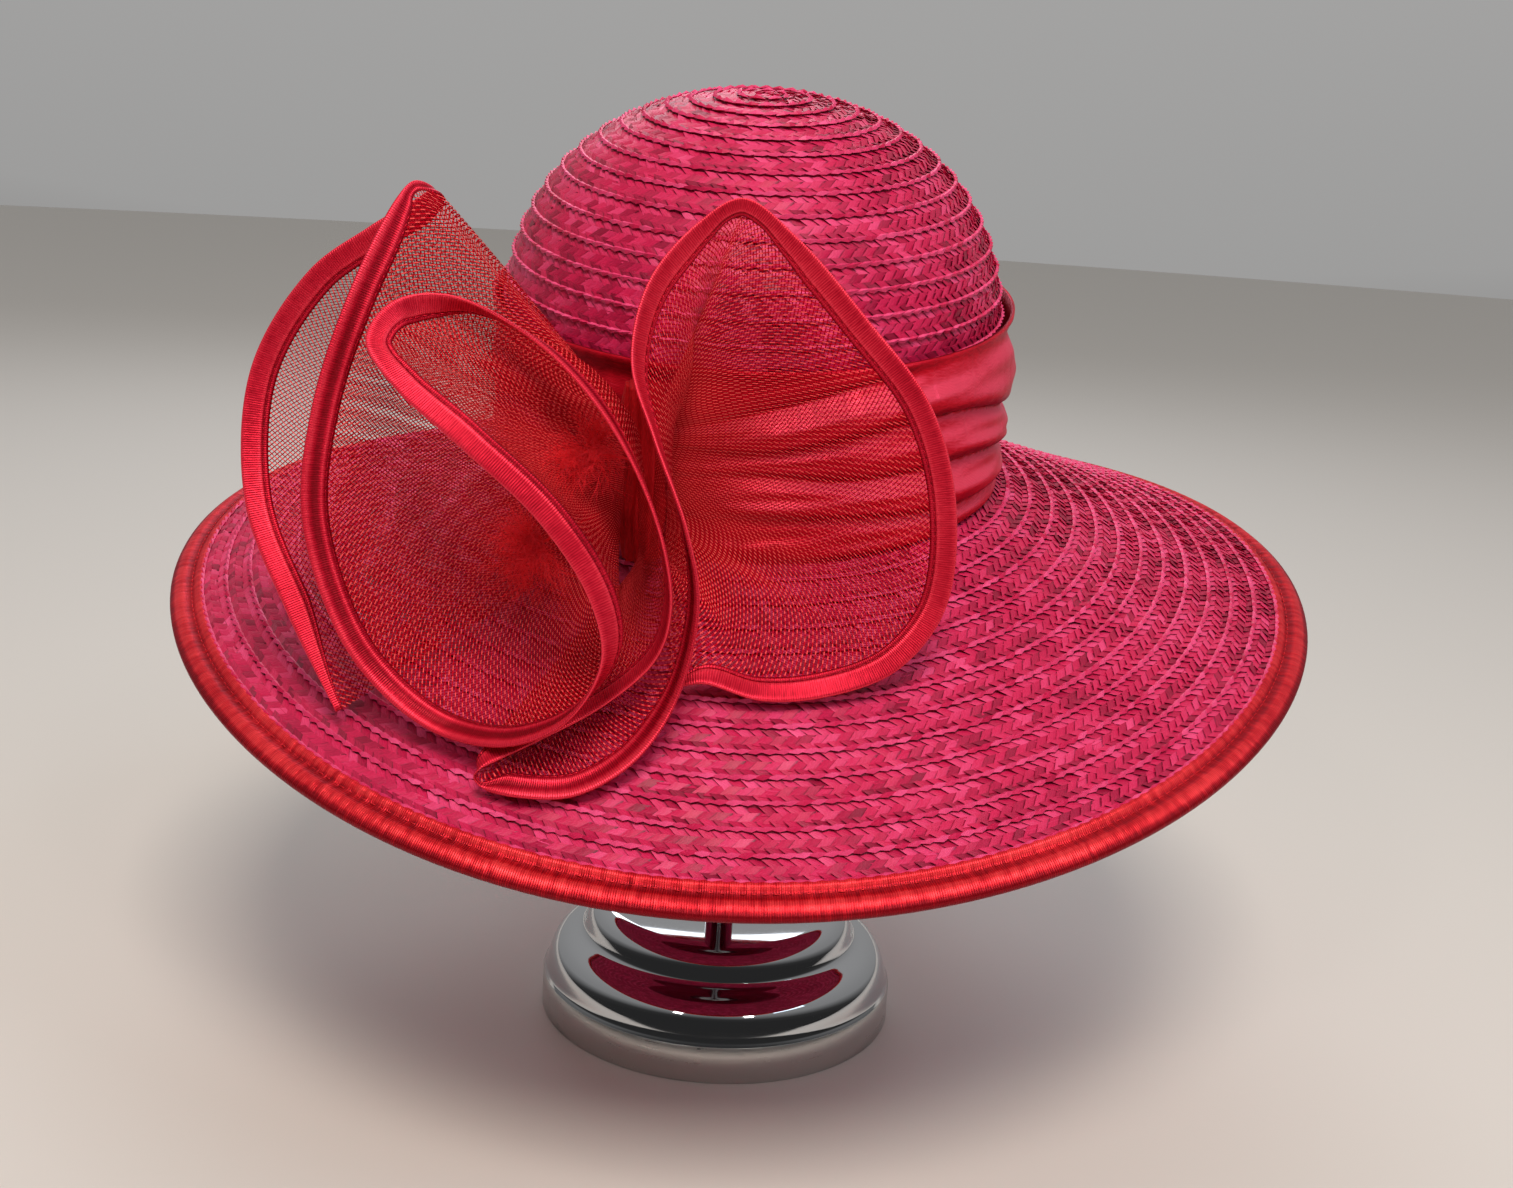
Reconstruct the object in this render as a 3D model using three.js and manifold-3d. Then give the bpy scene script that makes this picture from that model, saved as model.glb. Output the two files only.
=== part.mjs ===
// A wide-brim straw hat on its display stand.
// Millimetres, +Z up, the wearer's front towards -Y. The origin is the centre of the stand's foot.
// The hat's own pieces are written in the hat's frame: z = 0 where the crown's wall meets the brim.

import * as THREE from "three";
import Module from "manifold-3d";

// How the hat sits on the stand
const HAT_SEAT = new THREE.Vector3(0, 2.3, 222.6);
const HAT_TIP_FORWARD = THREE.MathUtils.degToRad(11);
const HAT_LEAN_SIDE = THREE.MathUtils.degToRad(-1);
const AROUND = 36;

// Crown: an oval wall that turns into a dome
const CROWN_HALF_WIDTH = 89.5;
const CROWN_HALF_DEPTH = 95.5;
const CROWN_SHOULDER_Z = 53.6;
const CROWN_TOP_Z = 134.6;
const DOME_POWER = 2.16;
const STRAW_WALL = 2.0;
const PLAIT_PITCH = 8.4;
const PLAIT_STEP = 0.5;
const STEP_HALF_WIDTH = 0.4;
const ROWS_DOWN_TO = 60;
const CROWN_FOOT_TAPER = 5;
const CROWN_INSIDE_RINGS = 8;
const SECTION_STEPS = 400;

// Brim: a cone that droops more at the front and back than at the sides
const BRIM_ROOT_HALF_WIDTH = 91.5;
const BRIM_ROOT_HALF_DEPTH = 97.5;
const BRIM_HALF_WIDTH = 211.9;
const BRIM_HALF_DEPTH = 211.9;
const BRIM_DROP_SIDE = 39.3;
const BRIM_DROP_EXTRA = 21.9;
const BRIM_SAG = 2.2;
const BRIM_ROWS = 13;
const BRIM_UNDERSIDE = [0.66, 0.33];
const BRIM_FOOT_BEVEL = 1.2;
const BINDING_ON_TOP = 11;
const BINDING_BELOW = 8.5;

// Pleated band round the foot of the crown
const BAND_INNER_GAP = 0.85;
const BAND_DRIFT = 2.0;
const BAND_DRIFT_PHASE = 0.6;
const BAND_PROFILE = [
  // height up the crown, outward offset from the straw
  { up: 1.6, out: 3.4 },
  { up: 9, out: 5.0 },
  { up: 14, out: 3.2 },
  { up: 21, out: 5.6 },
  { up: 29, out: 3.4 },
  { up: 39, out: 6.0 },
  { up: 50, out: 3.4 },
  { up: 60, out: 5.8 },
  { up: 66, out: 5.0 },
];
const BAND_LIP_WALL = 1.5;
const BAND_LIP_HEIGHT = 9;

// Trimming: a bias strip of net with a bound edge, gathered at one place on the band
const NET_WALL = 1.0;
const EDGE_WIDTH = 7.6;
const EDGE_WALL = 2.2;
const GAP = 0.35;
const GATHER_X = -33;
const GATHER_Y = -101;
const GATHER_HALF_WIDTH = 8;
const GATHER_HALF_DEPTH = 7.2;
const GATHER_LOW = 1;
const GATHER_HIGH = 62;
const GATHER_SIDES = 14;
const GATHER_PROFILE = [
  // share of the height, share of the full size
  { height: 0, size: 0.55 },
  { height: 0.12, size: 0.9 },
  { height: 0.35, size: 1 },
  { height: 0.65, size: 1 },
  { height: 0.88, size: 0.9 },
  { height: 1, size: 0.55 },
];
const ROOT_CLEARANCE = 0.75;
const BAND_CREST = 6.1;
const TIP_SHARE = 0.7;
const TURN_PER_SECTION = 0.45;
const LOBE_TRIM = 0.08;
const TWIST_GAP = 2.5;
const TIP_GAP = 1.2;
const TURN_WINDOW = [-0.9, -0.6, -0.3, 0, 0.3, 0.6, 0.9];
const NET_ACROSS = [0, 0.33, 0.67, 1];

// One row for each section of the strip: where its bound edge runs (x, y, z), where its root meets the
// gather (at: degrees round it, up: height), and how far the net swells between the two.
const COLUMNS = ["x", "y", "z", "at", "up", "swell"];
const STRIP = [
  {
    lobe: "tall_petal_rear",
    rows: [
      [-125, -147, -36, 168, 9, -3],
      [-142, -134, -8, 168, 15, -5],
      [-157, -118, 22, 168, 25, -7],
      [-156, -104, 61, 169, 34, -7],
      [-137, -99, 92, 170, 43, -5],
      [-118, -96, 106, 171, 48, -3],
      [-99.5, -96, 118.5, 174, 53, -1],
    ],
  },
  {
    lobe: "tall_petal_front",
    rows: [
      [-103, -101, 121.5, 184, 55, 0],
      [-107, -107, 118, 194, 53, 1],
      [-119, -121, 94, 198, 46, 3],
      [-130, -133, 60, 200, 36, 4],
    ],
  },
  {
    lobe: "cup",
    rows: [
      [-133, -142, 27, 200, 28, 4],
      [-122, -150, -8, 201, 22, 5],
      [-108, -154, -26, 203, 18, 4],
      [-90, -163, -33.5, 206, 16, 3],
      [-66, -176, -29, 209, 14, 2],
      [-49, -179, -18, 213, 13, 1],
      [-39.5, -176, 0, 218, 15, 0],
      [-43, -173, 18, 224, 20, -3],
    ],
  },
  {
    lobe: "funnel",
    rows: [
      [-58, -170, 41, 228, 26, -6],
      [-81, -165, 61, 231, 34, -9],
      [-101, -154, 74, 234, 41, -8],
      [-111, -142, 84, 237, 47, -5],
      [-105, -128, 92, 241, 51, -2],
      [-90, -123, 93, 245, 52, -3],
      [-67, -126, 83, 250, 49, -5],
      [-49, -133, 69, 255, 43, -5],
    ],
  },
  {
    lobe: "lower_fold",
    rows: [
      [-33, -147, 51, 260, 35, -2],
      [-23, -157, 30, 263, 25, 0],
      [-20, -162, 11, 265, 17, 1],
      [-24, -164, -4, 267, 11, 0],
      [-39.5, -165, -20, 269, 8, -1],
      [-59, -169, -31, 272, 6, -1],
      [-70, -173, -35.5, 275, 5, 0],
      [-76, -175.5, -38, 277, 4.5, 0],
      [-77.5, -176, -40.5, 279, 4, 0],
      [-75, -176.5, -43.5, 281, 3, 0],
      [-66, -180, -44, 284, 2.5, 0],
      [-47, -181, -42.5, 287, 3, 0],
      [-30, -175, -34, 289, 5, -1],
      [-18, -166, -18, 291, 9, -3],
      [-12, -160, 11, 294, 17, -3],
    ],
  },
  {
    lobe: "right_loop",
    rows: [
      [-16, -157, 34, 297, 27, 0],
      [-27, -146, 59, 300, 38, 5],
      [-35, -132, 78, 304, 47, 9],
      [-31, -120, 99, 309, 54, 10],
      [-17, -110, 115, 316, 58, 6],
      [-4, -107, 122, 323, 59, 3],
      [13, -109, 111, 330, 57, 2],
      [35, -116, 89, 335, 51, 3],
      [55, -124, 66, 338, 43, 4],
      [65, -129, 36, 340, 33, 5],
      [64, -134, 2, 340, 23, 6],
      [50, -141, -16, 338, 15, 6],
      [29, -147, -23, 335, 9, 5],
      [8, -150, -24, 331, 5, 4],
      [-10, -150, -19, 327, 3, 3],
    ],
  },
];

// Feather tufts: a head on a short stem, and locks that fan out of it
const TUFTS = [
  { name: "lower", head: [-66, -124, 13], stem: [-40.2, -105.2, 22], radius: 6, reach: 21, locks: 5 },
  { name: "upper", head: [-50, -123, 46], stem: [-37, -107.9, 38], radius: 4.5, reach: 17, locks: 4 },
];

const TUFT_TURN = 2.4;
const TUFT_STEM = { foot: 1.4, head: 1.6 };
const LOCK_THICK = 0.62;
const LOCK_TIP = 0.7;
const LOCK_LEAN = { least: 0.25, most: 1 };
const LOCK_REACH = { least: 0.5, most: 1, turn: 1.9 };
const LOCK_SIDES = 3;

// Display stand: a turned foot, a thin post and a rounded cap under the crown
const STAND_SIDES = 28;
const FOOT_RADIUS = 69.7;
const FOOT_WALL = 14.6;
const FOOT_PROFILE = [
  // radius and height of the turned foot, from the rim to the flat top
  { r: 68.8, z: 15.4 },
  { r: 69.2, z: 19 },
  { r: 68.2, z: 23.5 },
  { r: 65.4, z: 27.6 },
  { r: 61, z: 30.4 },
  { r: 56.5, z: 31.4 },
  { r: 54.2, z: 32.2 },
  { r: 53.2, z: 34.5 },
  { r: 52.2, z: 38.5 },
  { r: 49.5, z: 42 },
  { r: 44.5, z: 44.2 },
];
const FOOT_TOP = 44.2;
const POST_RADIUS = 5.8;
const POST_SIDES = 16;
const CAP_RADIUS = 46;
const CAP_CROWN = 20;
const CAP_LIP = 5;
const CAP_LIP_TAPER = 3;
const CAP_STEPS = 6;

const COLOURS = {
  straw: { color: 0xb32a5c, roughness: 0.42, metalness: 0.0 },
  satin: { color: 0xd2202a, roughness: 0.38, metalness: 0.0 },
  bandSatin: { color: 0xa81a34, roughness: 0.4, metalness: 0.0 },
  net: { color: 0xb01828, roughness: 0.6, metalness: 0.0 },
  feather: { color: 0xc01218, roughness: 0.9, metalness: 0.0 },
  metal: { color: 0xb9bbc0, roughness: 0.12, metalness: 1.0 },
};

const TAU = Math.PI * 2;
const lerp = THREE.MathUtils.lerp;

// A closed body: vertices and triangles, turned inside out if its volume comes out negative
class Body {
  constructor() {
    this.points = [];
    this.faces = [];
  }

  add(point) {
    this.points.push(point.x, point.y, point.z);
    return this.points.length / 3 - 1;
  }

  triangle(a, b, c) {
    this.faces.push(a, b, c);
  }

  quad(a, b, c, d) {
    this.triangle(a, b, c);
    this.triangle(a, c, d);
  }

  volume() {
    const at = (i) => new THREE.Vector3().fromArray(this.points, 3 * i);
    let sum = 0;
    for (let f = 0; f < this.faces.length; f += 3) {
      const [a, b, c] = this.faces.slice(f, f + 3).map(at);
      sum += a.dot(b.cross(c)) / 6;
    }
    return sum;
  }

  geometry() {
    if (this.volume() < 0) {
      for (let f = 0; f < this.faces.length; f += 3) {
        [this.faces[f + 1], this.faces[f + 2]] = [this.faces[f + 2], this.faces[f + 1]];
      }
    }
    const geometry = new THREE.BufferGeometry();
    geometry.setAttribute("position", new THREE.Float32BufferAttribute(this.points, 3));
    geometry.setIndex(this.faces);
    geometry.computeVertexNormals();
    return geometry;
  }
}

// Joins a row of sections, each a closed outline of as many points, and caps or closes the row
function loft(sections, closed = false) {
  const body = new Body();
  const rings = sections.map((outline) => outline.map((point) => body.add(point)));
  const count = rings[0].length;
  const spans = closed ? rings.length : rings.length - 1;
  for (let i = 0; i < spans; i += 1) {
    const here = rings[i];
    const next = rings[(i + 1) % rings.length];
    for (let j = 0; j < count; j += 1) {
      const k = (j + 1) % count;
      body.quad(here[j], next[j], next[k], here[k]);
    }
  }
  if (!closed) {
    for (let j = 1; j < count - 1; j += 1) {
      body.triangle(rings[0][0], rings[0][j], rings[0][j + 1]);
      body.triangle(rings.at(-1)[0], rings.at(-1)[j + 1], rings.at(-1)[j]);
    }
  }
  return body.geometry();
}

// A body turned round the Z axis from a profile that runs from the axis to the axis
function turned(profile, sides) {
  const body = new Body();
  const rings = profile.map(({ r, z }) => {
    if (r === 0) return [body.add(new THREE.Vector3(0, 0, z))];
    return Array.from({ length: sides }, (_, i) => {
      const turn = (i / sides) * TAU;
      return body.add(new THREE.Vector3(r * Math.cos(turn), r * Math.sin(turn), z));
    });
  });
  for (let i = 0; i < rings.length - 1; i += 1) {
    const [low, high] = [rings[i], rings[i + 1]];
    for (let j = 0; j < sides; j += 1) {
      const k = (j + 1) % sides;
      if (low.length === 1) body.triangle(low[0], high[k], high[j]);
      else if (high.length === 1) body.triangle(low[j], low[k], high[0]);
      else body.quad(low[j], low[k], high[k], high[j]);
    }
  }
  return body.geometry();
}

function mesh(name, geometry, finish) {
  const made = new THREE.Mesh(geometry, new THREE.MeshStandardMaterial(finish));
  made.name = name;
  return made;
}

// The crown's straw at a height: how much of its full oval is left
function crownScale(z) {
  if (z <= CROWN_SHOULDER_Z) return 1;
  const rise = Math.min((z - CROWN_SHOULDER_Z) / (CROWN_TOP_Z - CROWN_SHOULDER_Z), 1);
  return Math.pow(1 - Math.pow(rise, DOME_POWER), 1 / DOME_POWER);
}

// The dome's section as points an even arc apart, from the top down to the foot of the wall
function crownSection() {
  const fine = [];
  for (let i = 0; i <= SECTION_STEPS; i += 1) {
    const a = (1 - i / SECTION_STEPS) * (Math.PI / 2);
    const scale = Math.pow(Math.cos(a), 2 / DOME_POWER);
    const z = lerp(CROWN_SHOULDER_Z, CROWN_TOP_Z, Math.pow(Math.sin(a), 2 / DOME_POWER));
    fine.push(new THREE.Vector2(scale * CROWN_HALF_WIDTH, z));
  }
  fine.push(new THREE.Vector2(CROWN_HALF_WIDTH, -STRAW_WALL));
  return fine;
}

// The point of that section at an arc length from the top, with its outward normal
function alongCrown(section, distance) {
  let left = distance;
  for (let i = 0; i < section.length - 1; i += 1) {
    const run = section[i].distanceTo(section[i + 1]);
    if (left <= run || i === section.length - 2) {
      const point = section[i].clone().lerp(section[i + 1], Math.min(left / run, 1));
      const along = section[i + 1].clone().sub(section[i]).normalize();
      return { point, normal: new THREE.Vector2(-along.y, along.x) };
    }
    left -= run;
  }
  return null;
}

function crownRing(point, normal, offset) {
  const x = point.x + normal.x * offset;
  const z = point.y + normal.y * offset;
  const depth = CROWN_HALF_DEPTH - CROWN_HALF_WIDTH;
  const y = x + depth * (point.x / CROWN_HALF_WIDTH);
  return Array.from({ length: AROUND }, (_, i) => {
    const turn = (i / AROUND) * TAU;
    return new THREE.Vector3(x * Math.cos(turn), y * Math.sin(turn), z);
  });
}

// The crown: plait rows outside, each one's lower edge standing over the next, down to where the band
// hides the straw, and a smooth inside
function makeCrown() {
  const section = crownSection();
  let arc = 0;
  for (let i = 0; i < section.length - 1; i += 1) arc += section[i].distanceTo(section[i + 1]);
  const rowsEnd = arc - STRAW_WALL - ROWS_DOWN_TO;
  const rings = [];
  const outerAt = (distance, offset) => {
    const { point, normal } = alongCrown(section, distance);
    rings.push(crownRing(point, normal, offset));
  };
  for (let row = 1; row * PLAIT_PITCH < rowsEnd; row += 1) {
    outerAt(row * PLAIT_PITCH - STEP_HALF_WIDTH, PLAIT_STEP);
    outerAt(row * PLAIT_PITCH + STEP_HALF_WIDTH, -PLAIT_STEP);
  }
  outerAt(arc - CROWN_FOOT_TAPER, PLAIT_STEP);
  outerAt(arc, -PLAIT_STEP);
  for (let i = 0; i < CROWN_INSIDE_RINGS; i += 1) {
    const { point, normal } = alongCrown(section, lerp(arc, PLAIT_PITCH, i / (CROWN_INSIDE_RINGS - 1)));
    rings.push(crownRing(point, normal, -STRAW_WALL));
  }
  const body = new Body();
  const index = rings.map((ring) => ring.map((point) => body.add(point)));
  const topOut = body.add(new THREE.Vector3(0, 0, CROWN_TOP_Z + PLAIT_STEP));
  const topIn = body.add(new THREE.Vector3(0, 0, CROWN_TOP_Z - STRAW_WALL));
  for (let j = 0; j < AROUND; j += 1) {
    const k = (j + 1) % AROUND;
    body.triangle(topOut, index[0][j], index[0][k]);
    for (let i = 0; i < index.length - 1; i += 1) {
      body.quad(index[i][j], index[i + 1][j], index[i + 1][k], index[i][k]);
    }
    body.triangle(topIn, index.at(-1)[k], index.at(-1)[j]);
  }
  return mesh("crown", body.geometry(), COLOURS.straw);
}

// A point of the brim's upper face: u runs from the crown's foot (0) to the straw's edge (1)
function brimFace(turn, u) {
  const sin = Math.sin(turn);
  const drop = BRIM_DROP_SIDE + BRIM_DROP_EXTRA * sin * sin;
  return new THREE.Vector3(
    lerp(BRIM_ROOT_HALF_WIDTH, BRIM_HALF_WIDTH, u) * Math.cos(turn),
    lerp(BRIM_ROOT_HALF_DEPTH, BRIM_HALF_DEPTH, u) * sin,
    -drop * u - BRIM_SAG * 4 * u * (1 - u),
  );
}

// The same point, raised along the face's normal
function brimPoint(turn, u, raise) {
  const step = 0.01;
  const here = brimFace(turn, u);
  const out = brimFace(turn, u + step).sub(here);
  const round = brimFace(turn + step, u).sub(here);
  return here.add(out.cross(round).normalize().multiplyScalar(raise));
}

function brimSlope(turn) {
  return brimFace(turn, 0).distanceTo(brimFace(turn, 1));
}

// The brim: rows outside, smooth beneath, its inner edge just clear of the crown's wall
function makeBrim() {
  const start = (CROWN_HALF_WIDTH + GAP - BRIM_ROOT_HALF_WIDTH) / (BRIM_HALF_WIDTH - BRIM_ROOT_HALF_WIDTH);
  const sections = Array.from({ length: AROUND }, (_, i) => {
    const turn = (i / AROUND) * TAU;
    const slope = brimSlope(turn);
    const rowsEnd = 1 - BINDING_ON_TOP / slope;
    const outline = [brimPoint(turn, start, -PLAIT_STEP)];
    for (let row = 1; row <= BRIM_ROWS; row += 1) {
      const u = lerp(start, rowsEnd, row / BRIM_ROWS);
      const last = row === BRIM_ROWS;
      outline.push(brimPoint(turn, u - STEP_HALF_WIDTH / slope, last ? -PLAIT_STEP : PLAIT_STEP));
      if (!last) outline.push(brimPoint(turn, u + STEP_HALF_WIDTH / slope, -PLAIT_STEP));
    }
    outline.push(brimPoint(turn, 1, -PLAIT_STEP));
    outline.push(brimPoint(turn, 1, -STRAW_WALL));
    outline.push(...BRIM_UNDERSIDE.map((u) => brimPoint(turn, u, -STRAW_WALL)));
    outline.push(brimPoint(turn, start + BRIM_FOOT_BEVEL / slope, -STRAW_WALL));
    return outline;
  });
  return mesh("brim", loft(sections, true), COLOURS.straw);
}

// The tape folded round the brim's edge: a channel with a rolled outer edge
const BINDING_PROFILE = [
  // inward from the straw's edge, raised above the brim's face
  { inward: BINDING_ON_TOP, raise: 0.1 },
  { inward: BINDING_ON_TOP, raise: 1.2 },
  { inward: 2.5, raise: 1.3 },
  { inward: -0.8, raise: 0.5 },
  { inward: -1.4, raise: -1.1 },
  { inward: -0.8, raise: -2.7 },
  { inward: 2.5, raise: -3.4 },
  { inward: BINDING_BELOW, raise: -3.3 },
  { inward: BINDING_BELOW, raise: -2.35 },
  { inward: -0.4, raise: -2.35 },
  { inward: -0.4, raise: -0.1 },
];

function makeBrimBinding() {
  const sections = Array.from({ length: AROUND }, (_, i) => {
    const turn = (i / AROUND) * TAU;
    const slope = brimSlope(turn);
    return BINDING_PROFILE.map(({ inward, raise }) => brimPoint(turn, 1 - inward / slope, raise));
  });
  return mesh("brim_binding", loft(sections, true), COLOURS.satin);
}

// A point outside the crown: height up it and offset from its straw
function offCrown(turn, up, out) {
  const scale = crownScale(up);
  return new THREE.Vector3(
    (CROWN_HALF_WIDTH * scale + out) * Math.cos(turn),
    (CROWN_HALF_DEPTH * scale + out) * Math.sin(turn),
    up,
  );
}

// The pleated band, whose folds climb and fall a little on their way round
function makeHatBand() {
  const foot = BAND_PROFILE[0];
  const lip = BAND_PROFILE.at(-1);
  const sections = Array.from({ length: AROUND }, (_, i) => {
    const turn = (i / AROUND) * TAU;
    const outline = BAND_PROFILE.map(({ up, out }, row) => {
      const held = row === 0 || row === BAND_PROFILE.length - 1;
      const drift = held ? 0 : BAND_DRIFT * Math.sin(2 * turn + BAND_DRIFT_PHASE * row);
      return offCrown(turn, up + drift, out);
    });
    outline.push(offCrown(turn, lip.up, lip.out - BAND_LIP_WALL));
    outline.push(offCrown(turn, lip.up - BAND_LIP_HEIGHT, BAND_INNER_GAP));
    outline.push(offCrown(turn, foot.up, BAND_INNER_GAP));
    return outline;
  });
  return mesh("hat_band", loft(sections, true), COLOURS.bandSatin);
}

// The gather: a soft lump that backs onto the band's crest and stands out to the front
function makeGather() {
  const width = CROWN_HALF_WIDTH + BAND_CREST + GAP;
  const sections = GATHER_PROFILE.map(({ height, size }) => {
    const z = lerp(GATHER_LOW, GATHER_HIGH, height);
    return Array.from({ length: GATHER_SIDES }, (_, j) => {
      const turn = (j / GATHER_SIDES) * TAU;
      const x = GATHER_X + size * GATHER_HALF_WIDTH * Math.cos(turn);
      const y = GATHER_Y + size * GATHER_HALF_DEPTH * Math.sin(turn);
      const wall = -(CROWN_HALF_DEPTH + BAND_CREST + GAP) * Math.sqrt(1 - (x / width) ** 2);
      return new THREE.Vector3(x, Math.min(y, wall), z);
    });
  });
  return mesh("gather", loft(sections), COLOURS.net);
}

// The strip's rows as one list, with smooth curves through the bound edge, the roots and the swell
function stripCurves() {
  const rows = STRIP.flatMap(({ rows: part }) => part).map((row) => {
    return Object.fromEntries(COLUMNS.map((column, i) => [column, row[i]]));
  });
  const edge = rows.map(({ x, y, z }) => new THREE.Vector3(x, y, z));
  const root = rows.map(({ at, up }) => {
    const turn = THREE.MathUtils.degToRad(at);
    return new THREE.Vector3(
      GATHER_X + (GATHER_HALF_WIDTH + ROOT_CLEARANCE) * Math.cos(turn),
      GATHER_Y + (GATHER_HALF_DEPTH + ROOT_CLEARANCE) * Math.sin(turn),
      up,
    );
  });
  const swell = rows.map((row) => new THREE.Vector3(row.swell, 0, 0));
  const curve = (points) => new THREE.CatmullRomCurve3(points, false, "centripetal");
  return { edge: curve(edge), root: curve(root), swell: curve(swell), last: rows.length - 1 };
}

const strip = stripCurves();

// The strip at a section s (a row number, with fractions): its edge, its root, the way inward from the
// edge, square to it within the cloth, the way out of the cloth, and how wide a tape can turn there
function stripTurn(s) {
  const t = THREE.MathUtils.clamp(s / strip.last, 0, 1);
  const step = 0.1 / strip.last;
  const low = Math.max(t - step, 0);
  const high = Math.min(t + step, 1);
  const edge = strip.edge.getPoint(t);
  const root = strip.root.getPoint(t);
  const swell = strip.swell.getPoint(t).x;
  const before = edge.clone().sub(strip.edge.getPoint(low));
  const after = strip.edge.getPoint(high).sub(edge);
  const along = before.clone().add(after).normalize();
  const toRoot = root.clone().sub(edge);
  const reach = toRoot.length();
  const inward = toRoot.addScaledVector(along, -toRoot.dot(along)).normalize();
  const out = along.clone().cross(inward).multiplyScalar(-1);
  inward.addScaledVector(out, (2 * swell) / reach).normalize();
  const run = before.length() + after.length();
  const bend = run > 0 ? after.normalize().sub(before.normalize()).dot(inward) / (run / 2) : 0;
  const room = bend > 0 ? Math.min(EDGE_WIDTH, TIP_SHARE / bend) : EDGE_WIDTH;
  return { edge, root, along, inward, out: along.clone().cross(inward).multiplyScalar(-1), swell, room };
}

// The same, with the bound edge's width: it narrows before a tight turn and widens after it
function stripFrame(s) {
  const nearby = TURN_WINDOW.map((shift) => stripTurn(s + shift).room);
  return { ...stripTurn(s), width: Math.min(...nearby) };
}

// A point of the net, v from the root (0) to the inner side of the bound edge (1)
function netFace(s, v) {
  const { edge, root, along, inward, swell, width } = stripFrame(s);
  const across = edge.addScaledVector(inward, width).sub(root);
  const out = along.cross(across).normalize();
  return root.addScaledVector(across, v).addScaledVector(out, swell * 4 * v * (1 - v));
}

function netNormal(s, v) {
  const h = 0.04;
  const along = netFace(s + h, v).sub(netFace(s - h, v));
  const across = netFace(s, v + h).sub(netFace(s, v - h));
  return along.cross(across).normalize();
}

// The sections of one lobe: closer together where the strip turns over
function lobeStops(first, last) {
  const stops = [];
  for (let row = first; row < last; row += 1) {
    const turn = (from, to) => stripFrame(from).out.angleTo(stripFrame(to).out);
    const total = turn(row, row + 0.5) + turn(row + 0.5, row + 1);
    const cuts = THREE.MathUtils.clamp(Math.ceil(total / TURN_PER_SECTION), 2, 6);
    for (let cut = 0; cut < cuts; cut += 1) stops.push(row + cut / cuts);
  }
  stops.push(last);
  stops[0] += first === 0 ? 0 : LOBE_TRIM;
  stops[stops.length - 1] -= last === strip.last ? 0 : LOBE_TRIM;
  return stops;
}

// A lobe's net: a thin wall from the gather to just short of the bound edge
function makeNet(lobe, first, last) {
  const sections = lobeStops(first, last).map((s) => {
    const twist = Math.abs(Math.sin(netNormal(s, 1).angleTo(stripFrame(s).out)));
    const tight = 1 - stripFrame(s).width / EDGE_WIDTH;
    const gap = GAP + TWIST_GAP * twist + TIP_GAP * tight;
    const reach = 1 - gap / netFace(s, 0).distanceTo(netFace(s, 1));
    const side = (half) => NET_ACROSS.map((v) => {
      return netFace(s, v * reach).addScaledVector(netNormal(s, v * reach), half);
    });
    return [...side(NET_WALL / 2), ...side(-NET_WALL / 2).reverse()];
  });
  return mesh(`net_${lobe}`, loft(sections), COLOURS.net);
}

// A lobe's bound edge: a rounded tape along the strip's outer edge
const EDGE_PROFILE = [
  // share of the tape's width inward from the strip's edge, and distance to either side of the cloth
  { share: 0, side: 0 },
  { share: 0.18, side: EDGE_WALL / 2 },
  { share: 1, side: EDGE_WALL / 3 },
  { share: 1, side: -EDGE_WALL / 3 },
  { share: 0.18, side: -EDGE_WALL / 2 },
];

function makeEdge(lobe, first, last) {
  const sections = lobeStops(first, last).map((s) => {
    const { edge, inward, out, width } = stripFrame(s);
    return EDGE_PROFILE.map(({ share, side }) => {
      return edge.clone().addScaledVector(inward, share * width).addScaledVector(out, side);
    });
  });
  return mesh(`edge_${lobe}`, loft(sections), COLOURS.satin);
}

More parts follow.
